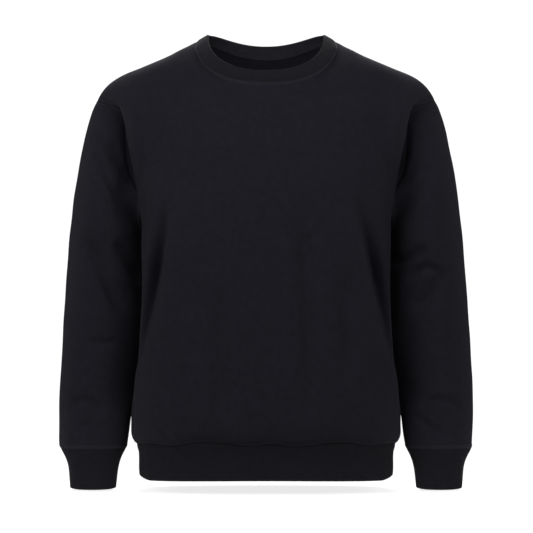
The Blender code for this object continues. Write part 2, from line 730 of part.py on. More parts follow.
def cloth(name, colour, roughness):
    """A plain cloth finish."""
    material = bpy.data.materials.new(name)
    material.use_nodes = True
    shader = material.node_tree.nodes["Principled BSDF"]
    shader.inputs["Base Color"].default_value = colour
    shader.inputs["Roughness"].default_value = roughness
    shader.inputs["Metallic"].default_value = 0
    return material


def main():
    for old in list(bpy.data.objects):
        bpy.data.objects.remove(old)
    fleece = cloth("black_fleece", BLACK_FLEECE, 0.9)
    rib = cloth("black_rib", BLACK_RIB, 0.85)
    pieces = folded(grids())
    normals = shared_normals(pieces)
    for name, (grid, tube) in pieces.items():
        banded = name.startswith(("cuff", "hem", "neck"))
        thickness = RIB_WALL if banded else FLEECE_WALL
        wall(name, grid, normals[name], tube, thickness, rib if banded else fleece)


main()
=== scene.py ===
"""The look of the crew-neck sweatshirt: fine cloth with folds, ribs, seams and stitches on the CAD form.

The tables and the functions that shape the pieces are the part's own, in millimetres, with the front
facing -Y and the origin in the middle of the body between the shoulder seams.
"""

import math
from collections import namedtuple

import bpy
import numpy as np
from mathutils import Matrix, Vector


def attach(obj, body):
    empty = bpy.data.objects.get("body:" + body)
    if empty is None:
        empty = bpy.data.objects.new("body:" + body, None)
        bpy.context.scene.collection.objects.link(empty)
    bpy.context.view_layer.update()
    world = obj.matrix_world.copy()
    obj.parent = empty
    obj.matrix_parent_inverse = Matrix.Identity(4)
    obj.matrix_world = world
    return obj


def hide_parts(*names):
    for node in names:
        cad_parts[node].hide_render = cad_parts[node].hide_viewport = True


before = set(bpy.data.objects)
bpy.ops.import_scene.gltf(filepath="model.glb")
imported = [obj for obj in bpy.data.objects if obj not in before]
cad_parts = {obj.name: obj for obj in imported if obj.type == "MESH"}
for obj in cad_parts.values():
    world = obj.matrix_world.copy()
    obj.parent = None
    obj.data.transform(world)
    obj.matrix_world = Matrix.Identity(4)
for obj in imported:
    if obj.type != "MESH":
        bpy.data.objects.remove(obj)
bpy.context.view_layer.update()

MM = 0.001


def table(columns, *rows):
    """Rows whose values are read by the names of their columns."""
    row_type = namedtuple("Row", columns)
    return [row_type(*row) for row in rows]


# Quads along each piece; pieces that share a seam share its points
NECK_COLUMNS = 18
SHOULDER_COLUMNS = 9
PANEL_COLUMNS = NECK_COLUMNS + 2 * SHOULDER_COLUMNS
SIDE_COLUMNS = 4
ARMHOLE_COLUMNS = 32
ARMHOLE_HALF = ARMHOLE_COLUMNS // 2
UPPER_ROWS = ARMHOLE_HALF - SIDE_COLUMNS // 2
LOWER_ROWS = 14
LOWER_CROWDING = 0.62
SLEEVE_ROWS = 16
CUFF_ROWS = 4
HEM_ROWS = 3
NECK_ROWS = 3

# Places of the columns across a panel, and round the armhole, a sleeve and a cuff
ACROSS = np.linspace(-1, 1, PANEL_COLUMNS + 1)
AROUND = np.arange(ARMHOLE_COLUMNS) / ARMHOLE_COLUMNS

# Body sections from the hem seam up: half width and where it is widest, depths to front and back,
# squareness, the side seams, and how far the arm presses the side in
BODY = table(
    "z half_width widest_y front back square front_seam back_seam press",
    (-622, 208.3, 0, 107.0, 100.0, 2.9, -60, 60, 0),
    (-614, 214.0, 0, 112.4, 105.4, 2.9, -60, 60, 0),
    (-604, 217.4, -2, 116.0, 109.0, 2.9, -60, 60, 0),
    (-590, 218.3, -5, 117.8, 110.8, 2.9, -60, 60, 0.5),
    (-570, 218.4, -10, 118.6, 111.8, 2.9, -59, 59, 2),
    (-527, 214.6, -20, 119.0, 112.4, 2.9, -57, 58, 5),
    (-464, 209.4, -26, 119.4, 113.5, 2.8, -53, 56, 5),
    (-414, 203.8, -28, 119.8, 114.8, 2.7, -48, 54, 5),
    (-362, 201.6, -28, 120.2, 116.2, 2.6, -42, 51, 4.5),
    (-311, 202.4, -28, 120.4, 117.4, 2.6, -34, 48, 4),
    (-272, 203.2, -22, 120.2, 118.2, 2.6, -28, 46, 3),
    (-250, 203.6, -16, 119.8, 118.6, 2.6, -25, 45, 1.5),
    (-225, 204.5, -10, 119.0, 118.8, 2.6, -22, 44, 0),
)

# The press of the arm along the depth, the height of the chest, the share of the way up to it from which
# the rows come in to the underarm, and the points of a section
PRESS_Y = 20
PRESS_WIDTH = 45
CHEST_Z = -250
UNDERARM_START = 0.85
SECTION_POINTS = 4001

# Hem band: the same sections, from the seam down to its folded edge
HEM = [
    BODY[0]._replace(z=z, half_width=half_width, front=front, back=back)
    for z, half_width, front, back in (
        (-622, 208.3, 107.0, 100.0), (-630, 206.8, 105.4, 98.6), (-642, 206.4, 104.8, 98.0),
        (-662, 206.3, 104.6, 97.8), (-679, 205.6, 104.2, 97.5),
    )
]

# Height of the hem's edge at the sides, how much higher it is in the middle, and the arch's half width
HEM_BOTTOM_Z = -680.2
HEM_ARCH = 2.4
HEM_ARCH_HALF = 188

# Height of the hem seam across the front, where the fleece is eased on to the rib; the back is the mirror
HEM_SEAM = table(
    "x z",
    (-215, -625.5), (-184, -620.0), (-156, -622.8), (-119, -617.8), (-81, -616.2), (-51, -619.2),
    (-19, -622.4), (3, -618.8), (39, -622.2), (79, -620.4), (136, -617.8), (165, -622.4), (190, -620.6),
    (215, -625.5),
)

# Top line of the shoulder, from the neck seam to the tip
SHOULDER = table(
    "x y z",
    (115.1, 3.0, 29.6), (135.5, 3.5, 17.8), (174.6, 4.5, -0.3), (200.7, 5.2, -11.2), (226.7, 6.2, -21.6),
    (241.5, 6.8, -28.6), (252.8, 7.2, -36.4), (265.9, 7.6, -49.4), (275.7, 8.0, -65.2),
)

# Armhole seam from the shoulder tip down to the underarm, in front and behind
ARMHOLE_FRONT = table(
    "x y z",
    (275.7, 8, -65.2), (264.0, -24, -69.5), (249.0, -43, -78.0), (236.0, -51, -92.0), (226.5, -54, -113.0),
    (218.0, -55, -142.0), (211.0, -53, -172.0), (205.5, -48, -200.0), (202.0, -39, -226.0),
    (200.5, -25, -250.0), (201.0, -8, -266.0), (203.0, 10, -272.0),
)
ARMHOLE_BACK = table(
    "x y z",
    (275.7, 8, -65.2), (267.0, 40, -68.5), (255.0, 61, -77.5), (243.5, 73, -93.0), (234.0, 79, -115.0),
    (225.0, 82, -144.0), (217.0, 81, -174.0), (210.5, 76, -202.0), (205.0, 65, -228.0), (202.0, 48, -251.0),
    (201.5, 28, -266.5), (203.0, 10, -272.0),
)

# Neck: the seam round the opening and the folded top edge of the band, given
# by their half width and the y and z of their side, front and back; the squareness of both in plan and the
# fall of their front and rise of their back; and how far the band stands out at its middle
NECK_SQUARE = 2.3
NECK_DROP = 1.5
NECK_POINTS = 2001
NECK_BACK_RISE = 1.55
NECK_SEAM = dict(half=115.1, side=(3, 29.6), front=(-86, -42), back=(62, 4))
NECK_EDGE = dict(half=94.5, side=(3, 41.6), front=(-75.5, -22), back=(54, 27))
NECK_BULGE = 0.3

# How the panels come up to the seam at the top: lean from upright at the middle, their fullness, the width
# over which they turn from the neck to the shoulder, and how closely the armhole's pull keeps to the edge
FRONT_LEAN = 22
BACK_LEAN = 34
RISE_MIDDLE = 0.38
RISE_SHOULDER = 0.58
ARRIVE_MIDDLE = 0.34
ARRIVE_SHOULDER = 0.36
NECK_CORNER = 0.24
ARMHOLE_PULL = 7

# How firmly the upper rows keep their place while they are eased, and the rows under the chest eased too
RELAX_HOLD = 0.01
RELAX_BELOW = 2

# The cloth rolls over in front of and behind the armhole seam, most at this share of the way across and
# over this width, and ends at the seam
ROLL_FRONT = 17
ROLL_BACK = 12
ROLL_PLACE = 0.91
ROLL_WIDTH = 0.1
ROLL_END = 24

# Rings of the sleeve after the armhole, and of the cuff: outer and inner line, and depth in front of and
# behind the middle
SLEEVE = table(
    "along outer_x outer_z inner_x inner_z mid_y front back",
    (40, 289.5, -101, 203.4, -277, 10, 62, 73),
    (80, 299.8, -145, 204.0, -285, 11, 66, 75),
    (125, 308.4, -188, 203.4, -297, 13, 68, 74),
    (175, 315.4, -238, 202.2, -317, 15, 68, 72),
    (230, 321.7, -293, 200.8, -347, 17, 67, 69),
    (290, 326.8, -357, 200.4, -389, 18, 64, 65),
    (355, 331.5, -424, 202.8, -441, 17, 60, 60),
    (420, 335.0, -489, 209.2, -497, 13, 55, 55),
    (480, 337.3, -548, 217.2, -551, 8, 50, 49),
    (530, 337.6, -598, 222.3, -600, 5, 44, 43),
    (558, 336.7, -622, 226.0, -623, 4, 39.5, 38.5),
    (570, 336.2, -632.0, 227.2, -632.0, 4, 37, 36),
)
CUFF = table(
    "along outer_x outer_z inner_x inner_z mid_y front back",
    (570, 336.2, -632.0, 227.2, -632.0, 4, 37, 36),
    (575, 333.5, -636, 230.2, -636, 3.5, 35, 34),
    (581, 329.5, -642, 233.8, -642, 3, 33, 32),
    (589, 325.3, -650, 237.2, -650, 2, 30.5, 29.5),
    (599, 322.7, -660, 240.0, -660, 1, 28.5, 27.5),
    (611, 321.0, -672, 242.0, -672, 0, 27, 26),
    (624, 319.7, -685, 243.5, -685, 0, 26.3, 25.5),
    (635, 319.3, -696.5, 244.6, -696.5, 0, 26, 25),
)
CUFF_TILT = 2.2
CUFF_CROWDING = 1.3
RING_SQUARE = 2.2

# Steps of the fine cloth for each of the part's own
ROW_FINE = 8
COLUMN_FINE = 5
SLEEVE_FINE = 12
NECK_FINE = 10
CUFF_FINE = 6
HEM_FINE = 6

# Steps of the part's own over which the cloth follows a moved edge
EDGE_REACH = 3

# Rows and columns of the fine cloth: up to the chest, on along the armhole, the neck's ends, across a side
CHEST_ROW = LOWER_ROWS * ROW_FINE
ARMHOLE_ROW = UPPER_ROWS * ROW_FINE
NECK_FIRST = SHOULDER_COLUMNS * COLUMN_FINE
NECK_LAST = NECK_FIRST + NECK_COLUMNS * COLUMN_FINE
SIDE_STEPS = SIDE_COLUMNS * ROW_FINE

# Columns of a tube that are read again past its ends, and the distance within which points are one
WRAP = 6
SAME_POINT = 0.05

# Further than anything that fades with distance reaches
FAR = 1000

# Thickness of the cloth
FLEECE_WALL = 2.4
RIB_WALL = 3.0

# Folds by part and the side that they are seen from, each an arc through three points (x, z), going down:
# how far its line stands out, or sinks in if negative, its width towards -X and +X, and how far the cloth
# falls away beside it, towards +X, or -X if negative
FOLD = "start bend end height left right drop"
FOLDS = {
    ("body", "front"): table(
        FOLD,
        ((-139, -205), (-161, -374), (-214, -560), 5, 12, 36, 0),
        ((127, -205), (164, -378), (215, -562), 5, 36, 12, 0),
        ((-70, -350), (-74, -490), (-66, -610), -7.5, 14, 12, 0),
        ((56, -225), (66, -420), (78, -616), -9.0, 14, 13, 0),
        ((124, -320), (130, -430), (134, -530), -7.0, 14, 13, 0),
        ((-166, -590), (-158, -602), (-146, -614), -2.2, 5, 7, 0),
        ((-72, -578), (-68, -596), (-64, -614), -1.8, 6, 6, 0),
        ((6, -590), (12, -602), (14, -614), -1.8, 6, 6, 0),
        ((84, -556), (90, -586), (88, -614), -2.4, 6, 7, 0),
    ),
    ("body", "back"): table(
        FOLD,
        ((-150, -205), (-168, -370), (-210, -550), 4, 14, 34, -11),
        ((140, -220), (163, -380), (211, -560), 4, 34, 14, 11),
        ((-40, -280), (-52, -440), (-58, -606), -4.5, 14, 13, 0),
        ((62, -330), (60, -470), (70, -610), -4.0, 13, 14, 0),
        ((-110, -575), (-100, -596), (-96, -614), -2.0, 6, 6, 0),
        ((24, -582), (18, -600), (20, -614), -2.0, 6, 6, 0),
        ((130, -586), (138, -602), (146, -614), -2.2, 7, 5, 0),
    ),
    ("sleeve", "front"): table(
        FOLD,
        ((-296, -280), (-263, -352), (-222, -424), -13, 11, 18, 0),
        ((-246, -290), (-222, -326), (-198, -372), -9, 9, 12, 0),
        ((284, -330), (270, -376), (226, -412), -10, 15, 10, 0),
        ((222, -366), (252, -341), (288, -350), -8, 8, 9, 0),
        ((-322, -570), (-290, -553), (-252, -580), -6, 7, 8, 0),
        ((246, -566), (284, -551), (318, -570), -6, 7, 8, 0),
        ((-286, -150), (-256, -196), (-226, -246), -4.5, 8, 11, 0),
        ((-262, -125), (-234, -180), (-206, -235), -7, 9, 12, 0),
        ((-246, -244), (-232, -262), (-216, -284), -2.4, 7, 8, 0),
        ((-290, -450), (-262, -460), (-232, -452), -3.4, 7, 7, 0),
        ((-304, -598), (-286, -592), (-262, -606), -4, 6, 7, 0),
        ((214, -222), (232, -190), (252, -158), -5, 7, 8, 0),
        ((232, -226), (250, -196), (268, -166), -4, 7, 8, 0),
        ((196, -336), (230, -322), (262, -300), -7, 9, 9, 0),
        ((254, -424), (262, -430), (270, -424), -1.6, 5, 5, 0),
        ((264, -454), (276, -466), (290, -460), -1.8, 6, 6, 0),
        ((238, -572), (262, -594), (300, -612), -5, 7, 8, 0),
    ),
    ("sleeve", "back"): table(
        FOLD,
        ((-286, -296), (-262, -352), (-234, -406), -6.5, 11, 11, 0),
        ((284, -312), (262, -350), (234, -374), -6.5, 11, 11, 0),
        ((-282, -176), (-256, -206), (-232, -236), -2.6, 8, 8, 0),
        ((280, -186), (254, -212), (232, -244), -2.6, 8, 8, 0),
        ((-300, -588), (-276, -604), (-252, -598), -2.2, 6, 6, 0),
        ((304, -580), (280, -598), (254, -592), -2.2, 6, 6, 0),
    ),
}
# Width over which the cloth falls away beside a fold, and the points that its arc is read at
DROP_WIDTH = 30
FOLD_SAMPLES = 61

# A fold fades out over this share of its length at both ends, and where the cloth turns away from the side
# that it is seen from: how far towards that side the normal points where it starts and where it is full
FOLD_TAPER = 0.3
FOLD_FACING = (0.1, 0.5)

# It fades out over this distance from a seam too, and over this many rows of the part along a side seam
FOLD_SEAM_FADE = 16
FOLD_SEAM_ROWS = 2.5

# Recesses outside the drape folds, each along an arc through three points (x, z), and how far they lie back
RECESSES = table(
    "start bend end depth",
    ((-144, -205), (-171, -398), (-224, -545), 46),
    ((134, -205), (173, -399), (223, -560), 46),
)

# Width of the step down into a recess, width of all of it, the shares of its length over which it comes and
# goes, and where in depth it fades out towards the back
RECESS_EDGE = 6
RECESS_WIDTH = 38
RECESS_START = 0.4
RECESS_END = 0.35
RECESS_BACK = (-5, 70)

# How far the recess cuts in under its fold, and the distances from the fold over which that fades
UNDERCUT = 2.5
UNDERCUT_FADE = (7, 29)

# Inner side of each sleeve below the underarm: heights where it is tucked back, how fast that comes and
# goes there and at a seam, and how far it lies back and nearer to the body, both from a share of the way
# round
TUCK_SPAN = (-165, -588)
TUCK_REACH = (90, 60)
TUCK_SEAM = 30
TUCK_DEPTH = 30
TUCK_FROM = 0.45
TUCK_NEARER = 6.5
TUCK_NEAR_FROM = 0.7

# The cloth is drawn in along every seam
SEAM_DIP = 1.2
SEAM_DIP_WIDTH = 4.5

# Crease along the armhole: its depth, the shares of the way to the underarm where it comes and goes, how
# much of it is left behind and where in depth it changes to that, its width on the body, and how it spreads
# on the sleeve
CREASE_DEPTH = 36
CREASE_SPAN = ((0, 0.3), (0.64, 0.9))
CREASE_BACK = 0.45
CREASE_BACK_SPAN = (-30, 40)
CREASE_BODY_WIDTH = 5
CREASE_SLEEVE = table("share width", (0.6, 38), (0.4, 10))

# Small waves of the whole cloth: how many are added up, and what brings their sum to about 1
WAVE_SEED = 7
WAVE_COUNT = 14
WAVE_PEAK = 1.6
WAVE_LENGTHS = (34, 120)
WAVE_HEIGHT = 0.42

# Gathers beside the ribs: full at the first of the two distances, and gone a little beyond the second
GATHER_HEIGHT = 0.75
GATHER_START = 6
GATHER_REACH = 24
GATHER_LENGTHS = (11, 30)

# The body swells in front and behind over the hem seam, most at this distance above it
HEM_SWELL = 6
HEM_SWELL_PEAK = 34

# Its sides stand out there: how far, from which widths, and the distances above and below the seam
HEM_SIDE = 2.5
HEM_SIDE_FROM = (150, 200)
HEM_SIDE_ABOVE = (6, 38)
HEM_SIDE_BELOW = 14

# The hem band's lower corners are raised: how far, from which widths, and up to what height
HEM_CORNER = 6
HEM_CORNER_FROM = (183, 206)
HEM_CORNER_HIGH = 18

# The armhole stands further out than the part's own, between these heights and between these widths
ARMHOLE_OUT = 9
ARMHOLE_OUT_DOWN = ((-40, -150), (-215, -285))
ARMHOLE_OUT_WIDE = ((140, 190), (215, 260))

# Bands of rib, the points to each rib, how round it is, and the lines of points round a folded edge
BANDS = ("cuff_left", "cuff_right", "hem_band", "neck_band")
RIB_PITCH = 2.6
RIB_SAMPLES = 4
RIB_HEIGHT = 0.42
RIB_ROUND = 0.6
EDGE_TURNS = 5

# Faces of the fleece that meet at more than this angle have a sharp edge, in degrees
SHARP_ANGLE = 50

# Ending of a piece's name where a CAD node has the same name
SUFFIX = "_cloth"

# Lines of points that are read beside a seam
SEAM_LINES = 14

# Seams: distance from the seam line and rise of each line of points across a seam
FLAT_SEAM = table(
    "offset rise",
    (-5.2, -0.7), (-4.7, 0.05), (-4.2, 0.35), (-3.8, 0.2), (-3.4, 0.45), (-2.2, 0.6), (-1.0, 0.5),
    (0.0, 0.1), (1.0, 0.5), (2.2, 0.6), (3.4, 0.45), (3.8, 0.2), (4.2, 0.35), (4.7, 0.05), (5.2, -0.7),
)
FLAT_STITCHES = (-3.8, 3.8)
COVER_SEAM = table(
    "offset rise",
    (-1.6, -0.7), (-0.8, 0.1), (0.0, 0.15), (0.8, 0.6), (1.4, 0.55), (1.8, 0.3), (2.2, 0.6), (3.6, 0.7),
    (5.0, 0.6), (5.4, 0.3), (5.8, 0.5), (6.4, 0.1), (7.0, -0.7),
)
COVER_STITCHES = (1.8, 5.4)

# Stitches: from one to the next, length, radius and sides of the thread, and each ring's place along the
# stitch, size and lift
STITCH_PITCH = 3.3
STITCH_LENGTH = 2.5
STITCH_RADIUS = 0.36
STITCH_SIDES = 6
STITCH_RINGS = ((-0.5, 0.25, -0.2), (-0.3, 1.0, 0.25), (0.3, 1.0, 0.25), (0.5, 0.25, -0.2))

# The two kinds of seam, each with the places of its rows of stitches
COVER = (COVER_SEAM, COVER_STITCHES)
FLAT = (FLAT_SEAM, FLAT_STITCHES)

# Materials of the cloth: length of a knitted stitch in metres, depth of the knit, and depth of the nap
CLOTHS = table(
    "name colour roughness sheen course knit_depth fuzz",
    ("black_fleece", (0.0116, 0.0109, 0.0150), 0.95, 0.02, 0.0011, 0.25, 0.35),
    # Rib of the hem and cuffs: darker than the fleece, partly its own tone and partly painted shade for the
    # dimmer light low down
    ("black_rib", (0.0080, 0.0077, 0.0100), 0.9, 0.02, 0.0012, 0.2, 0.25),
    # Inside of the bands: the same rib made about twice as light, painted light where little light reaches
    ("black_rib_inside", (0.0168, 0.0160, 0.0204), 0.9, 0.02, 0.0012, 0.2, 0.25),
    # Collar's rib: the same rib a little lighter in colour, painted light, beside a stronger sheen for its
    # rolled rim
    ("black_rib_collar", (0.0082, 0.0079, 0.0101), 0.9, 0.07, 0.0012, 0.2, 0.25),
)
SHEEN_ROUGHNESS = 0.5
SHEEN_TINT = (0.9, 0.9, 1.0, 1.0)
SPECULAR = 0.04

# Knit: width of a column in metres, slope of a stitch's legs, steepness of the grooves, and dip of the legs
WALE = 0.0013
KNIT_SLOPE = 1.6
KNIT_GROOVE = 4.0
KNIT_DIP = 1.5

# The nap, the uneven colour, how much each of them shades the cloth, and from what to what
NAP = {"Scale": 900.0, "Detail": 3.0, "Roughness": 0.7}
MOTTLE = {"Scale": 110.0, "Detail": 4.0, "Roughness": 0.6}
MOTTLE_SHARE = 0.45
NAP_SHARE = 0.35
SHADES = {"From Min": 0.25, "From Max": 0.55, "To Min": 0.77, "To Max": 1.23}

# Sewing thread, its colour lighter than the cloth as a painted highlight, and the fine relief of its twist
THREAD_COLOUR_WITH_PAINTED_HIGHLIGHT = (0.0250, 0.0240, 0.0290)
THREAD_ROUGHNESS = 0.9
TWIST = {"Scale": 1800.0, "Detail": 2.0}
TWIST_STRENGTH = 0.5
TWIST_DEPTH = 0.0002

# Camera, floor, the world's light from below and above and as the camera sees it, and lamps, in metres
SENSOR = 36
CAMERA_AWAY = 4
CAMERA_Z = -0.3366
PICTURE_SIDE = 533
CENTRE_PIXEL = 266.1
METRES_PER_PIXEL = 0.00163
FLOOR_Z = -0.7005
FLOOR_WIDE = 0.5
FLOOR_DEEP = 0.17
FLOOR_COLOUR = (0.35, 0.35, 0.35)
FLOOR_ROUGHNESS = 0.8
FLOOR_GLOW = 0.8
WORLD_BELOW = 0.02
WORLD_ABOVE = 0.04
WORLD_SEEN = 1.05
LIGHTS = table(
    "name place aim width height power",
    ("front_left", (-0.65, -1.45, 0.28), (0, 0, -0.3), 0.8, 0.8, 11),
    ("front_right", (0.65, -1.45, 0.28), (0, 0, -0.3), 0.8, 0.8, 8),
    ("top", (0, -0.2, 1.3), (0, 0, 0), 1.2, 0.8, 3),
    ("left", (-1.258, -1.056, 0.14), (0, 0, -0.3), 0.8, 0.8, 11),
    ("right", (1.258, -1.056, 0.14), (0, 0, -0.3), 0.8, 0.8, 8.6),
    ("side_left", (-1.563, 0.569, 0.053), (0, 0, -0.3), 0.8, 0.8, 8.4),
    ("side_right", (1.563, 0.569, 0.053), (0, 0, -0.3), 0.8, 0.8, 8.0),
    ("behind", (0, 1.093, 1.002), (0, 0, -0.3), 0.8, 0.8, 42),
)


def smooth(at, knots, values):
    """Reads the natural cubic spline through values, one of them for each knot, at the places in at."""
    at, knots, values = (np.asarray(given, float) for given in (at, knots, values))
    rows = values.reshape(len(knots), -1)
    gaps = np.diff(knots)
    slopes = np.diff(rows, axis=0) / gaps[:, None]
    system = np.eye(len(knots))
    right = np.zeros_like(rows)
    for i in range(1, len(knots) - 1):
        system[i, i - 1 : i + 2] = gaps[i - 1], 2 * (gaps[i - 1] + gaps[i]), gaps[i]
        right[i] = 6 * (slopes[i] - slopes[i - 1])
    bend = np.linalg.solve(system, right)
    i = np.clip(np.searchsorted(knots, at, side="right") - 1, 0, len(gaps) - 1)
    gap, t = gaps[i][:, None], (at - knots[i])[:, None]
    cubic = (bend[i + 1] - bend[i]) / (6 * gap)
    first = slopes[i] - gap * (2 * bend[i] + bend[i + 1]) / 6
    read = rows[i] + first * t + bend[i] / 2 * t**2 + cubic * t**3
    return read.reshape(len(at), *values.shape[1:])


def ease(t):
    """Goes smoothly from 0 to 1."""
    t = np.clip(t, 0, 1)
    return t * t * (3 - 2 * t)


def ramp(x, start, end):
    """Goes smoothly from 0 at start to 1 at end."""
    return ease((x - start) / (end - start))


def within(x, rising, falling):
    """Goes smoothly from 0 to 1 over one span and back to 0 over the other."""
    return ramp(x, *rising) * (1 - ramp(x, *falling))


def bell(x, width):
    """Falls from 1 at 0 to nothing on both sides."""
    return np.exp(-((x / width) ** 2))


def distances(points):
    """Distance along a line of points to each of them."""
    return np.concatenate([[0], np.cumsum(np.linalg.norm(np.diff(points, axis=0), axis=1))])


def lengths(points):
    """Distance along a line of points, from 0 to 1."""
    along = distances(points)
    return along / along[-1]


def spread(points, count):
    """The ends of this many equal steps along a fine line of points."""
    places = lengths(points)
    return np.stack([np.interp(evenly(count), places, values) for values in points.T], axis=1)


def evenly(count):
    """From 0 to 1 in equal steps."""
    return np.linspace(0, 1, count + 1)


def crowded(count):
    """From 0 to 1 with shorter steps at both ends."""
    t = evenly(count)
    return t - LOWER_CROWDING * np.sin(2 * math.pi * t) / (2 * math.pi)


def unit(vectors):
    """The vectors at length 1."""
    return vectors / np.linalg.norm(vectors, axis=-1)[..., None]


def section(row, part):
    """Points of one body section, in plan: the front or back panel, or the left side panel."""
    angle = np.linspace(-math.pi / 2, math.pi / 2, SECTION_POINTS)
    power = 2 / row.square
    reach = np.where(angle < 0, row.front + row.widest_y, row.back - row.widest_y)
    y = row.widest_y + np.sign(angle) * reach * np.abs(np.sin(angle)) ** power
    x = row.half_width * np.cos(angle).clip(0) ** power
    x = x - row.press * (x / row.half_width) * bell(y - PRESS_Y, PRESS_WIDTH)
    right = np.stack([x, y], axis=1)
    front, back = ([[np.interp(seam, y, x), seam]] for seam in (row.front_seam, row.back_seam))
    if part == "side":
        kept = right[(y > row.front_seam) & (y < row.back_seam)]
        return spread(np.concatenate([front, kept, back]), SIDE_COLUMNS)
    if part == "front":
        kept = np.concatenate([right[y < row.front_seam], front])
    else:
        kept = np.concatenate([right[y > row.back_seam][::-1], back])
    return spread(np.concatenate([kept[::-1] * (-1, 1), kept[1:]]), PANEL_COLUMNS)


def lofted(sections, part, heights):
    """The plan points of each column at each height, on smooth lines through the sections."""
    rows = sorted(sections)
    return smooth(heights, [row.z for row in rows], [section(row, part) for row in rows])


def hem_seam_z(x, y):
    """Height of the hem seam at each point of the lowest row."""
    places, heights = zip(*HEM_SEAM)
    return smooth(np.where(y > 0, -x, x), places, heights)


def neck_loop(part, half, side, front, back):
    """Half of a loop round the neck, in front or behind, from the wearer's right to left."""
    turn = np.linspace(0, math.pi / 2, NECK_POINTS)
    power = 2 / NECK_SQUARE
    if part == "front":
        forward = np.sin(turn) ** power
        drop = forward**NECK_DROP
        x = half * (1 - drop**NECK_SQUARE).clip(0) ** (1 / NECK_SQUARE)
        y = side[0] + (front[0] - side[0]) * forward
        z = side[1] + (front[1] - side[1]) * drop
    else:
        x = half * np.cos(turn) ** power
        y = side[0] + (back[0] - side[0]) * np.sin(turn) ** power
        share = NECK_BACK_RISE * (x / half) ** 2 - (NECK_BACK_RISE - 1) * (x / half) ** 8
        z = back[1] + (side[1] - back[1]) * share
    quarter = np.stack([x, y, z], axis=1)
    return spread(np.concatenate([quarter * (-1, 1, 1), quarter[-2::-1]]), NECK_COLUMNS)


def top_line(part):
    """Top of the front or back panel: shoulder, neck seam and shoulder."""
    shoulder = smooth(evenly(SHOULDER_COLUMNS), lengths(np.array(SHOULDER)), SHOULDER)
    neck = neck_loop(part, **NECK_SEAM)
    return np.concatenate([shoulder[::-1] * (-1, 1, 1), neck[1:-1], shoulder])


def armhole():
    """The left armhole seam as a closed loop, from the tip over the front to the underarm and back."""
    front, back = np.array(ARMHOLE_FRONT, float), np.array(ARMHOLE_BACK, float)[::-1]
    places = np.concatenate([lengths(front)[:-1] / 2, 0.5 + lengths(back)[:-1] / 2])
    knots = np.concatenate([places - 1, places, places + 1])
    return smooth(AROUND, knots, np.tile(np.concatenate([front[:-1], back[:-1]]), (3, 1)))


def arrival(part, top, chest):
    """Direction in which each column comes up to the top line, lying in the cloth there."""
    towards = 1 if part == "front" else -1
    lean = math.radians(FRONT_LEAN if part == "front" else BACK_LEAN)
    half, neck = PANEL_COLUMNS // 2, NECK_COLUMNS // 2
    line = top[half:]
    along = np.gradient(line, axis=0)
    along[0] = (1, 0, 0)
    along[neck] = line[neck] - line[neck - 1]
    along = unit(along)
    slope = unit(np.gradient(line[neck:], axis=0))
    shoulder_normal = np.stack([-slope[:, 2], 0 * slope[:, 0], slope[:, 0]], axis=1)
    middle_normal = np.array([0, -towards * math.cos(lean), math.sin(lean)])
    share = ease(line[: neck + 1, :1] / line[neck, 0])
    neck_normal = (1 - share) * middle_normal + share * shoulder_normal[0]
    normal = np.concatenate([neck_normal, shoulder_normal[1:]])
    normal = unit(normal - (normal * along).sum(axis=1)[:, None] * along)
    over = ease((ACROSS[half:] - NECK_COLUMNS / PANEL_COLUMNS + NECK_CORNER) / (2 * NECK_CORNER))[:, None]
    wished = (1 - over) * unit(line - chest[half:]) + over * np.array([0, towards, 0])
    found = unit(wished - (wished * normal).sum(axis=1)[:, None] * normal)
    return np.concatenate([found[:0:-1] * (-1, 1, 1), found]), np.concatenate([over[:0:-1], over])[:, 0]


def bending(count):
    """Matrix of the squared second differences along a line of points."""
    second = np.diff(np.eye(count), 2, axis=0)
    return second.T @ second


def relaxed(rows, held):
    """The rows with their unevenness eased out as cloth would, all held points left where they are."""
    height, width = rows.shape[:2]
    stiff = np.kron(bending(height), np.eye(width)) + np.kron(np.eye(height), bending(width))
    stiff += RELAX_HOLD * np.eye(height * width)
    points, held = rows.reshape(-1, 3), held.reshape(-1)
    free = ~held
    wanted = RELAX_HOLD * points[free] - stiff[np.ix_(free, held)] @ points[held]
    points = points.copy()
    points[free] = np.linalg.solve(stiff[np.ix_(free, free)], wanted)
    return points.reshape(rows.shape)


def upper_panel(part, chest, heading, loop):
    """Rows of the front or back panel from the chest up to the shoulder seams and the neck."""
    top = top_line(part)
    arriving, outwards = arrival(part, top, chest)
    span = np.linalg.norm(top - chest, axis=1)
    rise = (RISE_MIDDLE + (RISE_SHOULDER - RISE_MIDDLE) * outwards) * span
    arrive = (ARRIVE_MIDDLE + (ARRIVE_SHOULDER - ARRIVE_MIDDLE) * outwards) * span
    first, last = chest + heading * rise[:, None], top - arriving * arrive[:, None]
    t = evenly(UPPER_ROWS)[:, None, None]
    rows = (1 - t) ** 3 * chest + 3 * (1 - t) ** 2 * t * first + 3 * (1 - t) * t**2 * last + t**3 * top
    edge = loop[: UPPER_ROWS + 1][::-1] if part == "front" else loop[np.arange(-UPPER_ROWS, 1)]
    move = (edge - rows[:, -1])[:, None] * np.where(ACROSS[:, None] < 0, (-1, 1, 1), (1, 1, 1))
    return rows + np.abs(ACROSS[:, None]) ** ARMHOLE_PULL * move


def armhole_roll(part):
    """How far each point of the upper rows rolls forwards, or backwards behind, beside the armhole."""
    across = np.abs(ACROSS)
    roll = -ROLL_FRONT if part == "front" else ROLL_BACK
    beside = bell(across - ROLL_PLACE, ROLL_WIDTH) * (1 - across**ROLL_END)
    return roll * np.sin(math.pi * evenly(UPPER_ROWS))[:, None] ** 1.5 * beside[None]


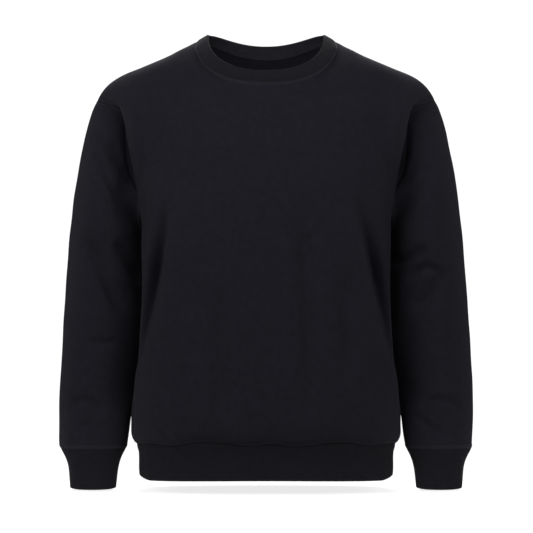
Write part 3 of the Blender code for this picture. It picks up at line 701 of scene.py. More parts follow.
def lower_part(part, turned=1):
    """Rows of a panel from the hem seam up to the chest, and how near each row is to the top."""
    low = BODY[0].z
    share = crowded(LOWER_ROWS)
    plan = lofted(BODY, part, low + share * (CHEST_Z - low))
    seam = hem_seam_z(turned * plan[0, :, 0], plan[0, :, 1])
    z = seam + share[:, None] * (CHEST_Z - seam)
    return np.concatenate([plan, z[:, :, None]], axis=2), ramp(share, UNDERARM_START, 1)[:, None, None]


def body_panel(part, loop):
    """Grid of the front or back panel, with rows from the hem seam up."""
    lower, near = lower_part(part)
    corner = loop[UPPER_ROWS if part == "front" else -UPPER_ROWS]
    across = ACROSS[:, None]
    move = (corner - lower[-1, -1]) * np.where(across < 0, (-1, 1, 1), (1, 1, 1))
    lower = lower + near * np.abs(across) ** ARMHOLE_PULL * move
    just_above = lofted(BODY, part, [CHEST_Z, CHEST_Z + 1])
    heading = np.concatenate([just_above[1] - just_above[0], np.ones((PANEL_COLUMNS + 1, 1))], axis=1)
    rows = np.concatenate([lower, upper_panel(part, lower[-1], unit(heading), loop)[1:]])
    held = np.zeros(rows.shape[:2], bool)
    held[: LOWER_ROWS + 1 - RELAX_BELOW] = held[-1] = held[:, 0] = held[:, -1] = True
    held[-2, :SHOULDER_COLUMNS] = held[-2, -SHOULDER_COLUMNS:] = True
    rows = relaxed(rows, held)
    rows[LOWER_ROWS:, :, 1] += armhole_roll(part)
    return rows


def side_panel(loop, turned=1):
    """Grid of the left side panel, from the hem seam up to the underarm; columns run front to back.

    With turned at -1 it has the hem seam of the right side, ready to be mirrored.
    """
    lower, near = lower_part("side", turned)
    under = loop[UPPER_ROWS : UPPER_ROWS + SIDE_COLUMNS + 1]
    return lower + near * (under - lower[-1])


def ring(row):
    """One ring of the left sleeve, from the outer line over the front to the inner line and back."""
    ways = np.cos(2 * math.pi * AROUND), np.sin(2 * math.pi * AROUND)
    reach, depth = (np.sign(way) * np.abs(way) ** (2 / RING_SQUARE) for way in ways)
    x = (row.outer_x + row.inner_x) / 2 + (row.outer_x - row.inner_x) / 2 * reach
    z = (row.outer_z + row.inner_z) / 2 + (row.outer_z - row.inner_z) / 2 * reach
    return np.stack([x, row.mid_y - np.where(depth > 0, row.front, row.back) * depth, z], axis=1)


def sleeve(loop):
    """Grid of the left sleeve, with rows from the armhole down to the cuff seam."""
    knots = [0] + [row.along for row in SLEEVE]
    return smooth(evenly(SLEEVE_ROWS) * knots[-1], knots, [loop] + [ring(row) for row in SLEEVE])


def cuff():
    """Grid of the left cuff, with rows from its seam down."""
    knots = [row.along for row in CUFF]
    share = evenly(CUFF_ROWS) ** CUFF_CROWDING
    grid = smooth(knots[0] + share * (knots[-1] - knots[0]), knots, [ring(row) for row in CUFF])
    grid[:, :, 2] -= share[:, None] * CUFF_TILT * np.sin(2 * math.pi * AROUND)
    return grid


def hem_band():
    """Grid of the hem band, with rows from the seam down; columns go once round."""
    share = evenly(HEM_ROWS)
    heights = HEM[0].z + share * (HEM[-1].z - HEM[0].z)
    front, side, back = (lofted(HEM, part, heights) for part in ("front", "side", "back"))
    plan = np.concatenate([front, side[:, 1:], back[:, -2::-1], side[:, -2:0:-1] * (-1, 1)], axis=1)
    seam = hem_seam_z(plan[0, :, 0], plan[0, :, 1])
    bottom = HEM_BOTTOM_Z + HEM_ARCH * (1 - (plan[-1, :, 0] / HEM_ARCH_HALF) ** 2).clip(0)
    z = seam + share[:, None] * (bottom - seam)
    return np.concatenate([plan, z[:, :, None]], axis=2)


def neck_band():
    """Grid of the neck band, with rows from the seam up to its folded edge."""
    seam, edge = (
        np.concatenate([neck_loop("front", **shape), neck_loop("back", **shape)[-2:0:-1]])
        for shape in (NECK_SEAM, NECK_EDGE)
    )
    run = np.roll(seam, -1, axis=0) - np.roll(seam, 1, axis=0)
    t = evenly(NECK_ROWS)[:, None, None]
    return seam + t * (edge - seam) + 4 * t * (1 - t) * NECK_BULGE * unit(np.cross(run, edge - seam))


def mirrored(grid):
    """The wearer's right side of a left piece, with its columns turned so that it still faces out."""
    return (grid * (-1, 1, 1))[:, ::-1]


def closed(grid, tube=True):
    """The grid, and if it is a tube with its first column once more at the end."""
    return np.concatenate([grid, grid[:, :1]], axis=1) if tube else grid


def quad_corners(grid):
    """The four corners of every quad of a grid, in turn."""
    low, high = slice(None, -1), slice(1, None)
    return [grid[low, low], grid[low, high], grid[high, high], grid[high, low]]


def face_normals(grid, tube):
    """Sum of the unit face normals round each point of one piece, each weighted by its corner's angle."""
    grid = closed(grid, tube)
    corners = quad_corners(grid)
    face = unit(np.cross(corners[2] - corners[0], corners[3] - corners[1]))
    total = np.zeros_like(grid)
    sums = quad_corners(total)
    for k, corner in enumerate(corners):
        before, after = corners[k - 1], corners[(k + 1) % 4]
        cosine = (unit(before - corner) * unit(after - corner)).sum(axis=2).clip(-1, 1)
        sums[k] += np.arccos(cosine)[:, :, None] * face
    if tube:
        total[:, 0] += total[:, -1]
        total = total[:, :-1]
    return total


def from_ends(grid, axis):
    """Distance along the cloth from each point to the nearer end of its line."""
    steps = np.linalg.norm(np.diff(grid, axis=axis), axis=2, keepdims=True)
    none = np.zeros_like(steps.take([0], axis))
    start = np.concatenate([none, np.cumsum(steps, axis=axis)], axis=axis)
    whole = start.take([-1], axis)
    return np.minimum(start, whole - start)[:, :, 0]


def from_row(grid, last=False):
    """Distance from each point to its piece's first row, or to the last; the other half is far off."""
    away = from_ends(grid, 0)
    half = len(grid) // 2
    away[slice(half) if last else slice(half, None)] = FAR
    return away


def beside_line(row, points):
    """Where points (x, z) lie beside the arc through a row's start, bend and end.

    Gives the distance to the line's left, the distance to its nearest sample, that sample's place from 0
    to 1, and the point's own place, which goes on beyond the line's ends.
    """
    t = np.linspace(0, 1, FOLD_SAMPLES)[:, None]
    first, last = np.array(row.start, float), np.array(row.end, float)
    control = 2 * np.array(row.bend, float) - (first + last) / 2
    line = (1 - t) ** 2 * first + 2 * t * (1 - t) * control + t**2 * last
    steps = np.gradient(line, axis=0)
    away = points[:, None] - line[None]
    near = np.argmin((away**2).sum(axis=2), axis=1)
    off, along = away[np.arange(len(points)), near], unit(steps)[near]
    across = along[:, 0] * off[:, 1] - along[:, 1] * off[:, 0]
    ahead = (off * along).sum(axis=1) / np.linalg.norm(steps, axis=1)[near]
    return across, np.linalg.norm(off, axis=1), t[near, 0], (near + ahead) / (FOLD_SAMPLES - 1)


def fold_heights(grid, normals, part):
    """How far the folds move each point of a piece along its normal."""
    flat = grid[:, :, (0, 2)].reshape(-1, 2)
    total = np.zeros(len(flat))
    for (owner, facing), folds in FOLDS.items():
        if owner != part:
            continue
        outwards = normals[:, :, 1].reshape(-1) * (-1 if facing == "front" else 1)
        share = ramp(outwards, *FOLD_FACING)
        for fold in folds:
            across, apart, place, _ = beside_line(fold, flat)
            crest = bell(apart, np.where(across < 0, fold.left, fold.right))
            taper = ease(place / FOLD_TAPER) * ease((1 - place) / FOLD_TAPER)
            beyond = np.clip(across * np.sign(fold.drop), 0, None) / DROP_WIDTH
            beside = (1 - np.exp(-(beyond**2) * 2)) * np.exp(-(beyond**2) / 2)
            total += (fold.height * crest - abs(fold.drop) * beside) * taper * share
    return total.reshape(grid.shape[:2])


def refined(grid, row_steps, column_steps, tube):
    """The grid read on smooth lines, at this many steps for each of its own."""
    rows, columns = grid.shape[:2]
    at = np.arange((columns - 1) * column_steps + 1) / column_steps
    if tube:
        grid = np.concatenate([grid[:, -WRAP:], grid, grid[:, : WRAP + 1]], axis=1)
        at = np.arange(columns * column_steps) / column_steps + WRAP
    across = smooth(at, np.arange(grid.shape[1]), grid.transpose(1, 0, 2).reshape(grid.shape[1], -1))
    across = across.reshape(len(at), rows, 3).transpose(1, 0, 2)
    down = np.arange((rows - 1) * row_steps + 1) / row_steps
    return smooth(down, np.arange(rows), across.reshape(rows, -1)).reshape(len(down), len(at), 3)


def edge_moved(grid, axis, end, line, reach):
    """The grid with one edge put on a line, and the move fading out over a number of steps inwards."""
    lines = grid if axis == 0 else grid.transpose(1, 0, 2)
    lines = lines[::-1] if end else lines
    fade = 1 - ease(np.arange(len(lines)) / reach)
    lines = lines + fade[:, None, None] * (line - lines[0])
    lines = lines[::-1] if end else lines
    return lines if axis == 0 else lines.transpose(1, 0, 2)


def fine_grids():
    """Fine grid of points on the outer face of every piece, up to its seams, and whether it is a tube."""
    loop = armhole()
    hole = refined(loop[None].repeat(2, axis=0), 1, ROW_FINE, True)[0]
    upper = {"front": hole[: ARMHOLE_ROW + 1][::-1], "back": hole[np.arange(-ARMHOLE_ROW, 1)]}
    panels = {}
    for part in ("front", "back"):
        grid = refined(body_panel(part, loop), ROW_FINE, COLUMN_FINE, False)
        for end, side in ((False, -1), (True, 1)):
            line = grid[:, -1 if end else 0].copy()
            line[CHEST_ROW:] = upper[part] * (side, 1, 1)
            grid = edge_moved(grid, 1, end, line, EDGE_REACH * COLUMN_FINE)
        panels[part] = grid
    front, back = panels["front"], panels["back"]
    line = back[-1].copy()
    line[: NECK_FIRST + 1] = front[-1, : NECK_FIRST + 1]
    line[NECK_LAST:] = front[-1, NECK_LAST:]
    back = edge_moved(back, 0, True, line, EDGE_REACH * ROW_FINE)
    sides = []
    under = hole[ARMHOLE_ROW : ARMHOLE_ROW + SIDE_STEPS + 1]
    for sign, column in ((1, -1), (-1, 0)):
        grid = refined(side_panel(loop, turned=sign), ROW_FINE, ROW_FINE, False) * (sign, 1, 1)
        grid = edge_moved(grid, 0, True, under * (sign, 1, 1), CHEST_ROW)
        grid = edge_moved(grid, 1, False, front[: CHEST_ROW + 1, column], SIDE_STEPS)
        grid = edge_moved(grid, 1, True, back[: CHEST_ROW + 1, column], SIDE_STEPS)
        sides.append(grid if sign == 1 else grid[:, ::-1])
    back = back[:, ::-1]
    arm = refined(sleeve(loop), SLEEVE_FINE, ROW_FINE, True)[::-1, ::-1]
    wrist = refined(cuff(), CUFF_FINE, ROW_FINE, True)[::-1, ::-1]
    hem = refined(hem_band()[::-1], HEM_FINE, COLUMN_FINE, True)
    around = np.concatenate([front[0], sides[0][0, 1:], back[0, 1:], sides[1][0, 1:-1]])
    hem = resampled(hem, 0, lengths(np.concatenate([around, around[:1]]))[:-1])
    hem = edge_moved(hem, 0, True, around, len(hem))
    neck = refined(neck_band(), NECK_FINE, COLUMN_FINE, True)
    collar = np.concatenate([front[-1, NECK_FIRST : NECK_LAST + 1], back[-1, NECK_FIRST + 1 : NECK_LAST]])
    neck = edge_moved(neck, 0, False, collar, len(neck))
    flat = {"front": front, "back": back, "side_panel_left": sides[0], "side_panel_right": sides[1]}
    tubes = {"sleeve_left": arm, "sleeve_right": mirrored(arm)}
    tubes |= {"cuff_left": wrist, "cuff_right": mirrored(wrist), "hem_band": hem, "neck_band": neck}
    return {name: (grid, name not in flat) for name, grid in (flat | tubes).items()}


def resampled(grid, row, fractions):
    """A tube with its columns at these fractions of the way round, measured along one row."""
    grid = closed(grid)
    places = lengths(grid[row])
    at = np.interp(fractions, places, np.arange(len(places)))
    low = np.clip(at.astype(int), 0, len(places) - 2)
    share = (at - low)[None, :, None]
    return grid[:, low] * (1 - share) + grid[:, low + 1] * share


def joined_normals(pieces):
    """Unit normals of every piece, made the same on both sides of each seam."""
    found, sums = {}, {}
    for name, (grid, tube) in pieces.items():
        total = face_normals(grid, tube)
        rim = np.zeros(grid.shape[:2], bool)
        rim[0] = rim[-1] = True
        if not tube:
            rim[:, 0] = rim[:, -1] = True
        keys = [tuple(key) for key in np.round(grid[rim] / SAME_POINT).astype(int)]
        for key, value in zip(keys, total[rim]):
            sums[key] = sums.get(key, 0) + value
        found[name] = total, rim, keys
    for total, rim, keys in found.values():
        total[rim] = [sums[key] for key in keys]
    return {name: unit(total) for name, (total, _, _) in found.items()}


def edge_distances(grid, tube):
    """Distance from each point to the nearest seam of its piece."""
    along = from_ends(grid, 0)
    return along if tube else np.minimum(along, from_ends(grid, 1))


def seam_fade(grid, name):
    """How much of a fold each point takes: none at a seam, apart from the side seams, which folds cross."""
    ends = ease(from_ends(grid, 0) / FOLD_SEAM_FADE)
    if name.startswith("sleeve"):
        return ends
    rows = np.arange(len(grid)) / ROW_FINE
    side_seam = ease(np.minimum(rows, LOWER_ROWS - rows) / FOLD_SEAM_ROWS)[:, None]
    if name.startswith("side"):
        return side_seam + 0 * ends
    inside = ease(from_ends(grid, 1) / FOLD_SEAM_FADE)
    return inside * ends + (1 - inside) * side_seam


def waves(points, seed, spans):
    """A smooth uneven surface between about -1 and 1, read at these points."""
    random = np.random.default_rng(seed)
    total = np.zeros(points.shape[:-1])
    for _ in range(WAVE_COUNT):
        way = unit(random.normal(size=3))
        length, start = random.uniform(*spans), random.uniform(0, 2 * math.pi)
        total += np.sin(points @ way * 2 * math.pi / length + start)
    return total / math.sqrt(WAVE_COUNT / 2) / WAVE_PEAK


def gathers(grid, name):
    """Small ripples across a seam, where the fleece is eased on to the rib."""
    start = from_row(grid)
    ripple = waves(grid[0] * (1, 1, 0), WAVE_SEED + len(name), GATHER_LENGTHS)
    return GATHER_HEIGHT * ripple[None] * (start / GATHER_START).clip(0, 1) * bell(start, GATHER_REACH)


def armhole_crease(grid, name):
    """How far the cloth sinks into the armhole's crease, sharply on the body and softly on the sleeve."""
    rows, columns = grid.shape[:2]
    if name.startswith("sleeve"):
        apart = from_row(grid, last=True)
        soft = sum(row.share * bell(apart, row.width) for row in CREASE_SLEEVE)
        return crease_share(round_sleeve(grid, name)) * soft
    steps = np.linalg.norm(np.diff(grid, axis=0), axis=2)
    climb = np.concatenate([np.zeros((1, columns)), np.cumsum(steps, axis=0)])
    sharp = bell((climb[CHEST_ROW] - climb).clip(0), CREASE_BODY_WIDTH)
    half = ARMHOLE_HALF * ROW_FINE
    if name.startswith("side"):
        share = (ARMHOLE_ROW + np.arange(columns))[None] / half
        return crease_share(np.minimum(share, 2 - share)) * sharp
    share = np.minimum(rows - 1 - np.arange(rows), ARMHOLE_ROW)[:, None] / half
    return crease_share(share) * bell(from_ends(grid, 1), CREASE_BODY_WIDTH) * sharp


def crease_share(share):
    """Depth of the armhole crease along the seam, from the shoulder tip at 0 to the underarm at 1."""
    return CREASE_DEPTH * within(share, *CREASE_SPAN)


def round_sleeve(grid, name):
    """How far round a sleeve each column lies, from 0 at its outer line to 1 at its inner one."""
    columns = grid.shape[1]
    turn = np.arange(columns) if name.endswith("right") else columns - 1 - np.arange(columns)
    return np.minimum(turn, columns - turn)[None] / (columns / 2)


def recessed(grid):
    """The body with the cloth outside its drape folds set back, which leaves its outline from the front."""
    flat = grid[:, :, (0, 2)].reshape(-1, 2)
    move = np.zeros((len(flat), 3))
    for row in RECESSES:
        side = np.sign(row.start[0])
        across, _, _, place = beside_line(row, flat)
        beyond = (across * side).clip(0)
        edge = (1 - bell(beyond, RECESS_EDGE)) * ease(place / RECESS_START) * ease((1 - place) / RECESS_END)
        move[:, 0] -= side * UNDERCUT * edge * (1 - ramp(beyond, *UNDERCUT_FADE))
        move[:, 1] += row.depth * edge * (1 - ease(beyond / RECESS_WIDTH))
    fade = 1 - ramp(grid[:, :, 1], *RECESS_BACK)
    return grid + move.reshape(grid.shape) * fade[:, :, None]


def tucked(grid, name):
    """The sleeve with its inner side set back and a little nearer to the body, below the underarm."""
    share, height = round_sleeve(grid, name), grid[:, :, 2]
    top, bottom = TUCK_SPAN
    down = ease((top - height) / TUCK_REACH[0]) * ease((height - bottom) / TUCK_REACH[1])
    down = down * ease(from_ends(grid, 0) / TUCK_SEAM)
    back = TUCK_DEPTH * ramp(share, TUCK_FROM, 1) * down
    inner = TUCK_NEARER * ramp(share, TUCK_NEAR_FROM, 1) * down
    towards = -1 if name.endswith("left") else 1
    return grid + np.stack([inner * towards, back, 0 * back], axis=2)


def hem_sides(grid, name):
    """The body or the hem band with its sides standing out at the hem seam, and round lower corners."""
    wide, side = np.abs(grid[:, :, 0]), np.sign(grid[:, :, 0])
    banded = name == "hem_band"
    away = from_row(grid, last=banded)
    fade = 1 - (ease(away / HEM_SIDE_BELOW) if banded else ramp(away, *HEM_SIDE_ABOVE))
    moved = grid.copy()
    moved[:, :, 0] += HEM_SIDE * fade * ramp(wide, *HEM_SIDE_FROM) * side
    if banded:
        low, high = HEM_CORNER_FROM
        outside = ((wide - low) / (high - low)).clip(0, 1) ** 2
        moved[:, :, 2] += HEM_CORNER * outside * (1 - ease(from_row(grid) / HEM_CORNER_HIGH))
    return moved


def armhole_out(grid):
    """The cloth beside the armhole moved outwards, the same on both sides of its seam."""
    amount = within(grid[:, :, 2], *ARMHOLE_OUT_DOWN) * within(np.abs(grid[:, :, 0]), *ARMHOLE_OUT_WIDE)
    moved = grid.copy()
    moved[:, :, 0] += ARMHOLE_OUT * amount * np.sign(grid[:, :, 0])
    return moved


def shaped(grid, name):
    """A piece with the large forms that are deeper or rounder than the part's own."""
    if name.startswith("sleeve"):
        return armhole_out(tucked(grid, name))
    if name == "hem_band":
        return hem_sides(grid, name)
    return grid if name in BANDS else armhole_out(hem_sides(recessed(grid), name))


def draped(pieces):
    """The pieces with their folds, waves and drawn-in seams."""
    pieces = {name: (shaped(grid, name), tube) for name, (grid, tube) in pieces.items()}
    normals = joined_normals(pieces)
    moved = {}
    for name, (grid, tube) in pieces.items():
        if name in BANDS:
            rise = -SEAM_DIP * bell(from_row(grid, last=name != "neck_band"), SEAM_DIP_WIDTH)
        else:
            part = "sleeve" if name.startswith("sleeve") else "body"
            apart = edge_distances(grid, tube)
            rise = gathers(grid, name) - SEAM_DIP * bell(apart, SEAM_DIP_WIDTH)
            rise += fold_heights(grid, normals[name], part) * seam_fade(grid, name)
            rise += WAVE_HEIGHT * waves(grid, WAVE_SEED, WAVE_LENGTHS) * ease(apart / FOLD_SEAM_FADE)
            behind = 1 - (1 - CREASE_BACK) * ramp(grid[:, :, 1], *CREASE_BACK_SPAN)
            rise -= armhole_crease(grid, name) * behind
            if part == "body":
                above = from_row(grid) / HEM_SWELL_PEAK
                rise += HEM_SWELL * above * np.exp(1 - above) * normals[name][:, :, 1] ** 2
        moved[name] = (grid + rise[:, :, None] * normals[name], tube)
    return moved


def uv_grid(grid, tube):
    """Length along the rows and the columns of the cloth, in metres, for its knit."""
    line = closed(grid, tube)
    u, v = distances(line[len(line) // 2]), distances(line[:, line.shape[1] // 2])
    return np.stack(np.broadcast_arrays(u[None], v[:, None]), axis=2) * MM


def linked(name, data):
    """A new object in the scene."""
    new = bpy.data.objects.new(name, data)
    bpy.context.scene.collection.objects.link(new)
    return new


def made(name, points, faces, uvs, material):
    """A new piece from points in millimetres, and lists of its faces and of their places in the knit."""
    mesh = bpy.data.meshes.new(name)
    mesh.from_pydata((points * MM).tolist(), [], [face for group in faces for face in group.tolist()])
    if uvs:
        layer = mesh.uv_layers.new(name="knit")
        layer.data.foreach_set("uv", np.concatenate([group.reshape(-1, 2) for group in uvs]).reshape(-1))
    mesh.shade_smooth()
    mesh.materials.append(material)
    piece = linked(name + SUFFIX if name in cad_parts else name, mesh)
    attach(piece, "root")
    return piece


def quads(index):
    """The corners of every face of a grid of point numbers, in turn."""
    return np.stack(quad_corners(index), axis=-1).reshape(-1, 4)


def numbered(grid):
    """A number for each point of a grid."""
    return np.arange(grid.shape[0] * grid.shape[1]).reshape(grid.shape[:2])


def surface(grid, tube, turned):
    """The faces of a grid, turned over if asked, and their corners' places in the knit."""
    uv = uv_grid(grid, tube)
    faces, spots = quads(closed(numbered(grid), tube)), quads(numbered(uv))
    if turned:
        faces, spots = faces[:, ::-1], spots[:, ::-1]
    return faces, uv.reshape(-1, 2)[spots]


def shell(name, grid, normals, tube, material):
    """A thin piece of fleece: a fine outer face, a plainer inner face and the edges between them."""
    inner = (grid - normals * FLEECE_WALL)[::2, ::2]
    index = closed(numbered(grid), tube)
    under = closed(numbered(inner) + grid.shape[0] * grid.shape[1], tube)
    uv = uv_grid(grid, tube)
    places, flat = numbered(uv), uv.reshape(-1, 2)
    faces = [quads(index), quads(under)[:, ::-1]]
    uvs = [flat[quads(places)], flat[quads(places[::2, ::2])[:, ::-1]]]
    for edge in [np.s_[0], np.s_[-1, ::-1]] + ([] if tube else [np.s_[::-1, 0], np.s_[:, -1]]):
        one, two, three = index[edge][:-1:2], index[edge][1::2], index[edge][2::2]
        near, far = under[edge][:-1], under[edge][1:]
        a, b, c = places[edge][:-1:2], places[edge][1::2], places[edge][2::2]
        for corners, spots in (
            ((two, one, near), (b, a, a)),
            ((two, near, far), (b, a, c)),
            ((three, two, far), (c, b, c)),
        ):
            faces.append(np.stack(corners, axis=1))
            uvs.append(flat[np.stack(spots, axis=1)])
    points = np.concatenate([grid.reshape(-1, 3), inner.reshape(-1, 3)])
    piece = made(name, points, faces, uvs, material)
    piece.data.set_sharp_from_angle(angle=math.radians(SHARP_ANGLE))
    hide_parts(name)
    return piece


def rib_band(name, grid, upwards, outside, inside):
    """A doubled band of rib, from its seam at the first row, or with upwards the last.

    It runs over the outside, round its folded edge and back inside to the seam.
    """
    grid = grid[::-1] if upwards else grid
    around = np.linalg.norm(np.roll(grid[-1], -1, axis=0) - grid[-1], axis=1).sum()
    count = round(around / RIB_PITCH)
    samples = np.arange(count * RIB_SAMPLES)
    grid = resampled(grid, -1, samples / len(samples))
    normals = unit(face_normals(grid, True)) * (-1 if upwards else 1)
    half = RIB_WALL / 2
    middle = grid - normals * half
    down = unit(grid[-1] - grid[-2])
    turns = np.linspace(0, math.pi, EDGE_TURNS + 2)[:, None, None]
    rim_way = np.cos(turns) * normals[-1] + np.sin(turns) * down
    rim = middle[-1] - down * half + rim_way * half
    outer, inner = grid[:-1], (middle - normals * half)[:-1][::-2]
    ways = np.concatenate([normals[:-1], rim_way, -normals[:-1][::-2]])
    phase = samples % RIB_SAMPLES / RIB_SAMPLES
    ridge = RIB_HEIGHT * (np.abs(np.sin(math.pi * phase)) ** RIB_ROUND - 0.5)
    layers = np.concatenate([outer, rim, inner]) + ways * ridge[None, :, None]
    faces, spots = surface(layers, True, upwards)
    piece = made(name, layers.reshape(-1, 3), [faces], [spots], outside)
    # The inside faces take the rib's lighter copy, with painted light in its colour
    piece.data.materials.append(inside)
    behind = np.arange(len(faces)) // len(ridge) >= len(outer) + len(rim) // 2
    piece.data.polygons.foreach_set("material_index", behind.astype(int))
    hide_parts(name)
    return piece


def inwards(lines, where):
    """The lines of a piece's points that lead away from one of its edges."""
    if where in ("first", "last"):
        lines = lines.transpose(1, 0, 2)
    return (lines[::-1] if where in ("top", "last") else lines)[:SEAM_LINES]


def beside_seam(lines, places):
    """Points and normals at these distances from a seam, for each line that leads away from it."""
    steps = np.linalg.norm(np.diff(lines[:, :, :3], axis=0), axis=2)
    far = np.concatenate([np.zeros((1, lines.shape[1])), np.cumsum(steps, axis=0)])
    read = [[np.interp(places, far[:, i], lines[:, i, k]) for k in range(6)] for i in range(lines.shape[1])]
    read = np.array(read).transpose(2, 0, 1)
    return read[:, :, :3], unit(read[:, :, 3:])


def seam(name, one, two, profile, stitches, tube, material):
    """A sewn band over a seam between two pieces, and its rows of stitches as lines."""
    offsets, rises = (np.array(column) for column in zip(*profile))

    def at(places):
        sides = [beside_seam(one, -places[places < 0]), beside_seam(two, places[places >= 0])]
        return (np.concatenate(values) for values in zip(*sides))

    points, normals = at(offsets)
    layers = points + normals * rises[:, None, None]
    middle = len(layers) // 2
    turn = np.cross(layers[middle, 1] - layers[middle, 0], layers[middle + 1, 0] - layers[middle, 0])
    faces, spots = surface(layers, tube, turn @ normals[middle, 0] < 0)
    band = made(name, layers.reshape(-1, 3), [faces], [spots], material)
    rows = []
    for place in stitches:
        line, ways = at(np.array([place]))
        rows.append((line[0] + ways[0] * np.interp(place, offsets, rises), ways[0], tube))
    return band, rows


def stitched(name, rows, material):
    """Short raised stitches of thread along rows of points on the cloth."""
    faces, points, used = [], [], 0
    shares, sizes, lifts = (np.array(column)[None] for column in zip(*STITCH_RINGS))
    angle = np.arange(STITCH_SIDES)[:, None] * 2 * math.pi / STITCH_SIDES
    for line, ways, tube in rows:
        if tube:
            line, ways = np.concatenate([line, line[:1]]), np.concatenate([ways, ways[:1]])
        places, whole = lengths(line), distances(line)[-1]
        count = int(whole / STITCH_PITCH)
        at = (np.arange(count)[:, None] + 0.5) / count + shares * STITCH_LENGTH / whole
        read = [np.interp(at, places, values) for values in np.concatenate([line, ways], axis=1).T]
        spot, up = np.stack(read[:3], axis=-1), unit(np.stack(read[3:], axis=-1))
        side = unit(np.cross(up, unit(spot[:, -1:] - spot[:, :1])))
        ring = np.cos(angle) * side[:, :, None] + np.sin(angle) * up[:, :, None]
        ring = ring * sizes[:, :, None, None] + up[:, :, None] * lifts[:, :, None, None]
        stitches = spot[:, :, None] + STITCH_RADIUS * ring
        index = np.arange(stitches.size // 3).reshape(stitches.shape[:3]) + used
        faces += [quads(closed(stitch)) for stitch in index]
        points.append(stitches.reshape(-1, 3))
        used += stitches.size // 3
    return made(name, np.concatenate(points), faces, None, material)


class Nodes:
    """A short way to wire the nodes of a material or the world."""

    def __init__(self, owner):
        owner.use_nodes = True
        self.tree = owner.node_tree

    def fill(self, node, inputs):
        """Gives a node's inputs their values, or links them to other nodes' outputs."""
        for key, value in inputs.items():
            if isinstance(value, bpy.types.NodeSocket):
                self.tree.links.new(value, node.inputs[key])
            else:
                node.inputs[key].default_value = value
        return node

    def add(self, kind, inputs=(), **settings):
        node = self.tree.nodes.new("ShaderNode" + kind)
        for key, value in settings.items():
            setattr(node, key, value)
        return self.fill(node, dict(inputs))

    def math(self, operation, first, second=0.0):
        return self.add("Math", {0: first, 1: second}, operation=operation).outputs[0]


def matter(name, colour, roughness, more=()):
    """A new material, its nodes and its shader with these inputs."""
    material = bpy.data.materials.new(name)
    nodes = Nodes(material)
    inputs = {"Base Color": (*colour, 1), "Roughness": roughness, "Metallic": 0} | dict(more)
    return material, nodes, nodes.fill(nodes.tree.nodes["Principled BSDF"], inputs)


def cloth(name, colour, roughness, sheen, course, knit_depth, fuzz):
    """Knit cloth: columns of small V-shaped stitches under a fine nap, with uneven colour."""
    gloss = {"Sheen Weight": sheen, "Sheen Roughness": SHEEN_ROUGHNESS, "Sheen Tint": SHEEN_TINT}
    material, nodes, shader = matter(name, colour, roughness, {**gloss, "Specular IOR Level": SPECULAR})
    calc = nodes.math

    def from_middle(value):
        return calc("ABSOLUTE", calc("SUBTRACT", calc("FRACT", value), 0.5))

    def summed(first, share, second, other):
        return calc("ADD", calc("MULTIPLY", first, share), calc("MULTIPLY", second, other))

    split = nodes.add("SeparateXYZ", {0: nodes.add("UVMap", uv_map="knit").outputs[0]})
    part = from_middle(calc("DIVIDE", split.outputs[0], WALE))
    row = calc("ADD", calc("DIVIDE", split.outputs[1], course), calc("MULTIPLY", part, KNIT_SLOPE))
    groove = calc("SMOOTH_MIN", calc("MULTIPLY", part, KNIT_GROOVE), 1.0)
    loops = calc("MULTIPLY", groove, calc("SUBTRACT", 1.0, calc("MULTIPLY", from_middle(row), KNIT_DIP)))
    body = nodes.add("TexCoord").outputs["Object"]
    nap = nodes.add("TexNoise", {"Vector": body, **NAP}).outputs[0]
    mottle = nodes.add("TexNoise", {"Vector": body, **MOTTLE}).outputs[0]
    height = summed(loops, knit_depth, nap, fuzz)
    bump = nodes.add("Bump", {"Height": height, "Strength": 1.0, "Distance": MM})
    shade = nodes.add("MapRange", {"Value": summed(mottle, MOTTLE_SHARE, nap, NAP_SHARE), **SHADES})
    mix = nodes.add("VectorMath", {0: colour, "Scale": shade.outputs[0]}, operation="SCALE")
    nodes.fill(shader, {"Normal": bump.outputs[0], "Base Color": mix.outputs[0]})
    return material


def yarn(name, colour):
    """Sewing thread, with the fine ridges of its twist."""
    material, nodes, shader = matter(name, colour, THREAD_ROUGHNESS)
    twist = nodes.add("TexNoise", {"Vector": nodes.add("TexCoord").outputs["Object"], **TWIST})
    relief = {"Height": twist.outputs[0], "Strength": TWIST_STRENGTH, "Distance": TWIST_DEPTH}
    nodes.fill(shader, {"Normal": nodes.add("Bump", relief).outputs[0]})
    return material


def declared(grid, tube):
    """Takes the corners of every quad of a piece, in metres, and keeps nothing of them."""
    grid = closed(grid, tube) * MM
    a, b, c, d = quad_corners(grid)


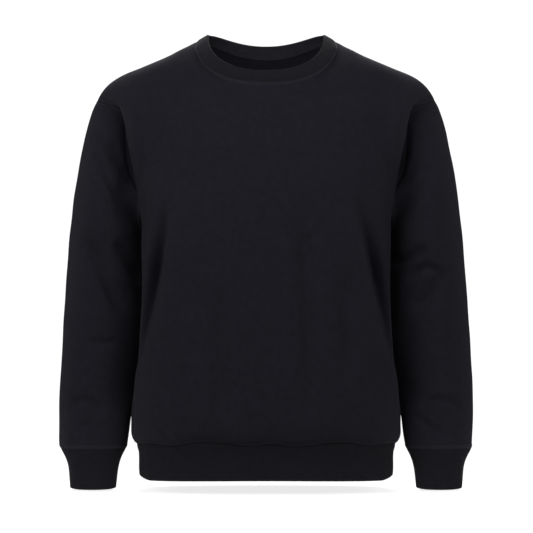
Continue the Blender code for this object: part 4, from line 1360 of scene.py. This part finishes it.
def garment():
    """Every piece with its seams and stitches."""
    pieces = draped(fine_grids())
    normals = joined_normals(pieces)
    both = {name: np.concatenate([grid, normals[name]], axis=2) for name, (grid, tube) in pieces.items()}
    cloths = {row.name: cloth(*row) for row in CLOTHS}
    # The thread's lighter colour is a painted highlight
    fleece, thread = cloths["black_fleece"], yarn("black_thread_painted_highlight", THREAD_COLOUR_WITH_PAINTED_HIGHLIGHT)
    for name, (grid, tube) in pieces.items():
        if name in BANDS:
            # Outside: the hem and cuff rib carries painted shade in its colour, and the collar's rib
            # painted light
            outside = cloths["black_rib_collar" if name == "neck_band" else "black_rib"]
            # Inside: a lighter copy of the rib, painted light
            inside = cloths["black_rib_inside"]
            rib_band(name, grid, name != "neck_band", outside, inside)
        else:
            shell(name, grid, normals[name], tube, fleece)

    def edge(name, where, start=None, end=None):
        return inwards(both[name], where)[:, start:end]

    going = {name: [] for name in pieces}

    def sew(name, owner, kind, tube, *seams):
        rows = []
        for k, (one, two) in enumerate(seams, start=1):
            band, lines = seam(f"{name}_{k}" if len(seams) > 1 else name, one, two, *kind, tube, fleece)
            going[owner].append(band)
            rows += lines
        going[owner].append(stitched(f"{name}_stitches", rows, thread))

    sides = [edge("side_panel_left", "bottom", 1), edge("side_panel_right", "bottom", 1, -1)]
    body = [edge("front", "bottom"), sides[0], edge("back", "bottom", 1), sides[1]]
    sew("hem_seam", "hem_band", COVER, True, (edge("hem_band", "top"), np.concatenate(body, axis=1)))
    neck = [edge("front", "top", NECK_FIRST, NECK_LAST + 1), edge("back", "top", NECK_FIRST + 1, NECK_LAST)]
    sew("neck_seam", "neck_band", COVER, True, (edge("neck_band", "bottom"), np.concatenate(neck, axis=1)))
    for side, to_front, to_back in (("left", "last", "first"), ("right", "first", "last")):
        arm, wrist, panel = f"sleeve_{side}", f"cuff_{side}", f"side_panel_{side}"
        sew(f"cuff_seam_{side}", wrist, COVER, True, (edge(wrist, "top"), edge(arm, "bottom")))
        sew(
            f"side_seams_{side}", panel, FLAT, False,
            (edge("front", to_front, 0, CHEST_ROW + 1), edge(panel, to_back)),
            (edge("back", to_back, 0, CHEST_ROW + 1), edge(panel, to_front)),
        )
        under = edge(panel, "top")[:, :: -1 if side == "left" else 1]
        over_back = edge("back", to_back, CHEST_ROW)[:, ::-1]
        hole = [edge("front", to_front, CHEST_ROW), over_back[:, 1:], under[:, 1:-1]]
        hole = np.concatenate(hole, axis=1)
        cap = edge(arm, "top")
        near = [np.argmin(((cap[0, :, :3] - point) ** 2).sum(axis=1)) for point in hole[0, :, :3]]
        sew(f"armhole_seam_{side}", arm, FLAT, True, (cap[:, near], hole))
    sew(
        "shoulder_seams", "back", FLAT, False,
        (edge("front", "top", NECK_LAST), edge("back", "top", 0, NECK_FIRST + 1)[:, ::-1]),
        (edge("front", "top", 0, NECK_FIRST + 1), edge("back", "top", NECK_LAST)[:, ::-1]),
    )
    for name, (grid, tube) in pieces.items():
        declared(grid, tube)


def stage():
    """The pale floor, the light and the camera."""
    mesh = bpy.data.meshes.new("floor")
    corners = [(x * FLOOR_WIDE, y * FLOOR_DEEP, FLOOR_Z) for x, y in ((-1, -1), (1, -1), (1, 1), (-1, 1))]
    mesh.from_pydata(corners, [], [(0, 1, 2, 3)])
    glow = {"Emission Color": (1, 1, 1, 1), "Emission Strength": FLOOR_GLOW, "Specular IOR Level": 0}
    mesh.materials.append(matter("pale_floor", FLOOR_COLOUR, FLOOR_ROUGHNESS, glow)[0])
    floor = linked("floor", mesh)
    world = bpy.data.worlds.new("studio")
    bpy.context.scene.world = world
    sky = Nodes(world)
    way = sky.add("SeparateXYZ", {0: sky.add("TexCoord").outputs["Generated"]})
    levels = {"From Min": -1, "To Min": WORLD_BELOW, "To Max": WORLD_ABOVE}
    height = sky.add("MapRange", {"Value": way.outputs["Z"], **levels})
    seen = {"Value": sky.add("LightPath").outputs["Is Camera Ray"], "To Max": WORLD_SEEN}
    strength = sky.add("MapRange", {"To Min": height.outputs[0], **seen})
    sky.fill(sky.tree.nodes["Background"], {"Color": (1, 1, 1, 1), "Strength": strength.outputs[0]})
    for light in LIGHTS:
        data = bpy.data.lights.new(light.name, "AREA")
        data.energy = light.power
        data.shape = "RECTANGLE"
        data.size, data.size_y = light.width, light.height
        lamp = linked(light.name, data)
        lamp.location = light.place
        lamp.rotation_euler = (Vector(light.aim) - Vector(light.place)).to_track_quat("-Z", "Y").to_euler()
    data = bpy.data.cameras.new("camera")
    data.sensor_width = SENSOR
    data.lens = SENSOR * CAMERA_AWAY / (PICTURE_SIDE * METRES_PER_PIXEL)
    camera = linked("camera", data)
    camera.location = ((PICTURE_SIDE / 2 - CENTRE_PIXEL) * METRES_PER_PIXEL, -CAMERA_AWAY, CAMERA_Z)
    camera.rotation_euler = (math.pi / 2, 0, 0)
    bpy.context.scene.camera = camera
    bpy.context.scene.view_settings.view_transform = "Standard"


garment()
stage()
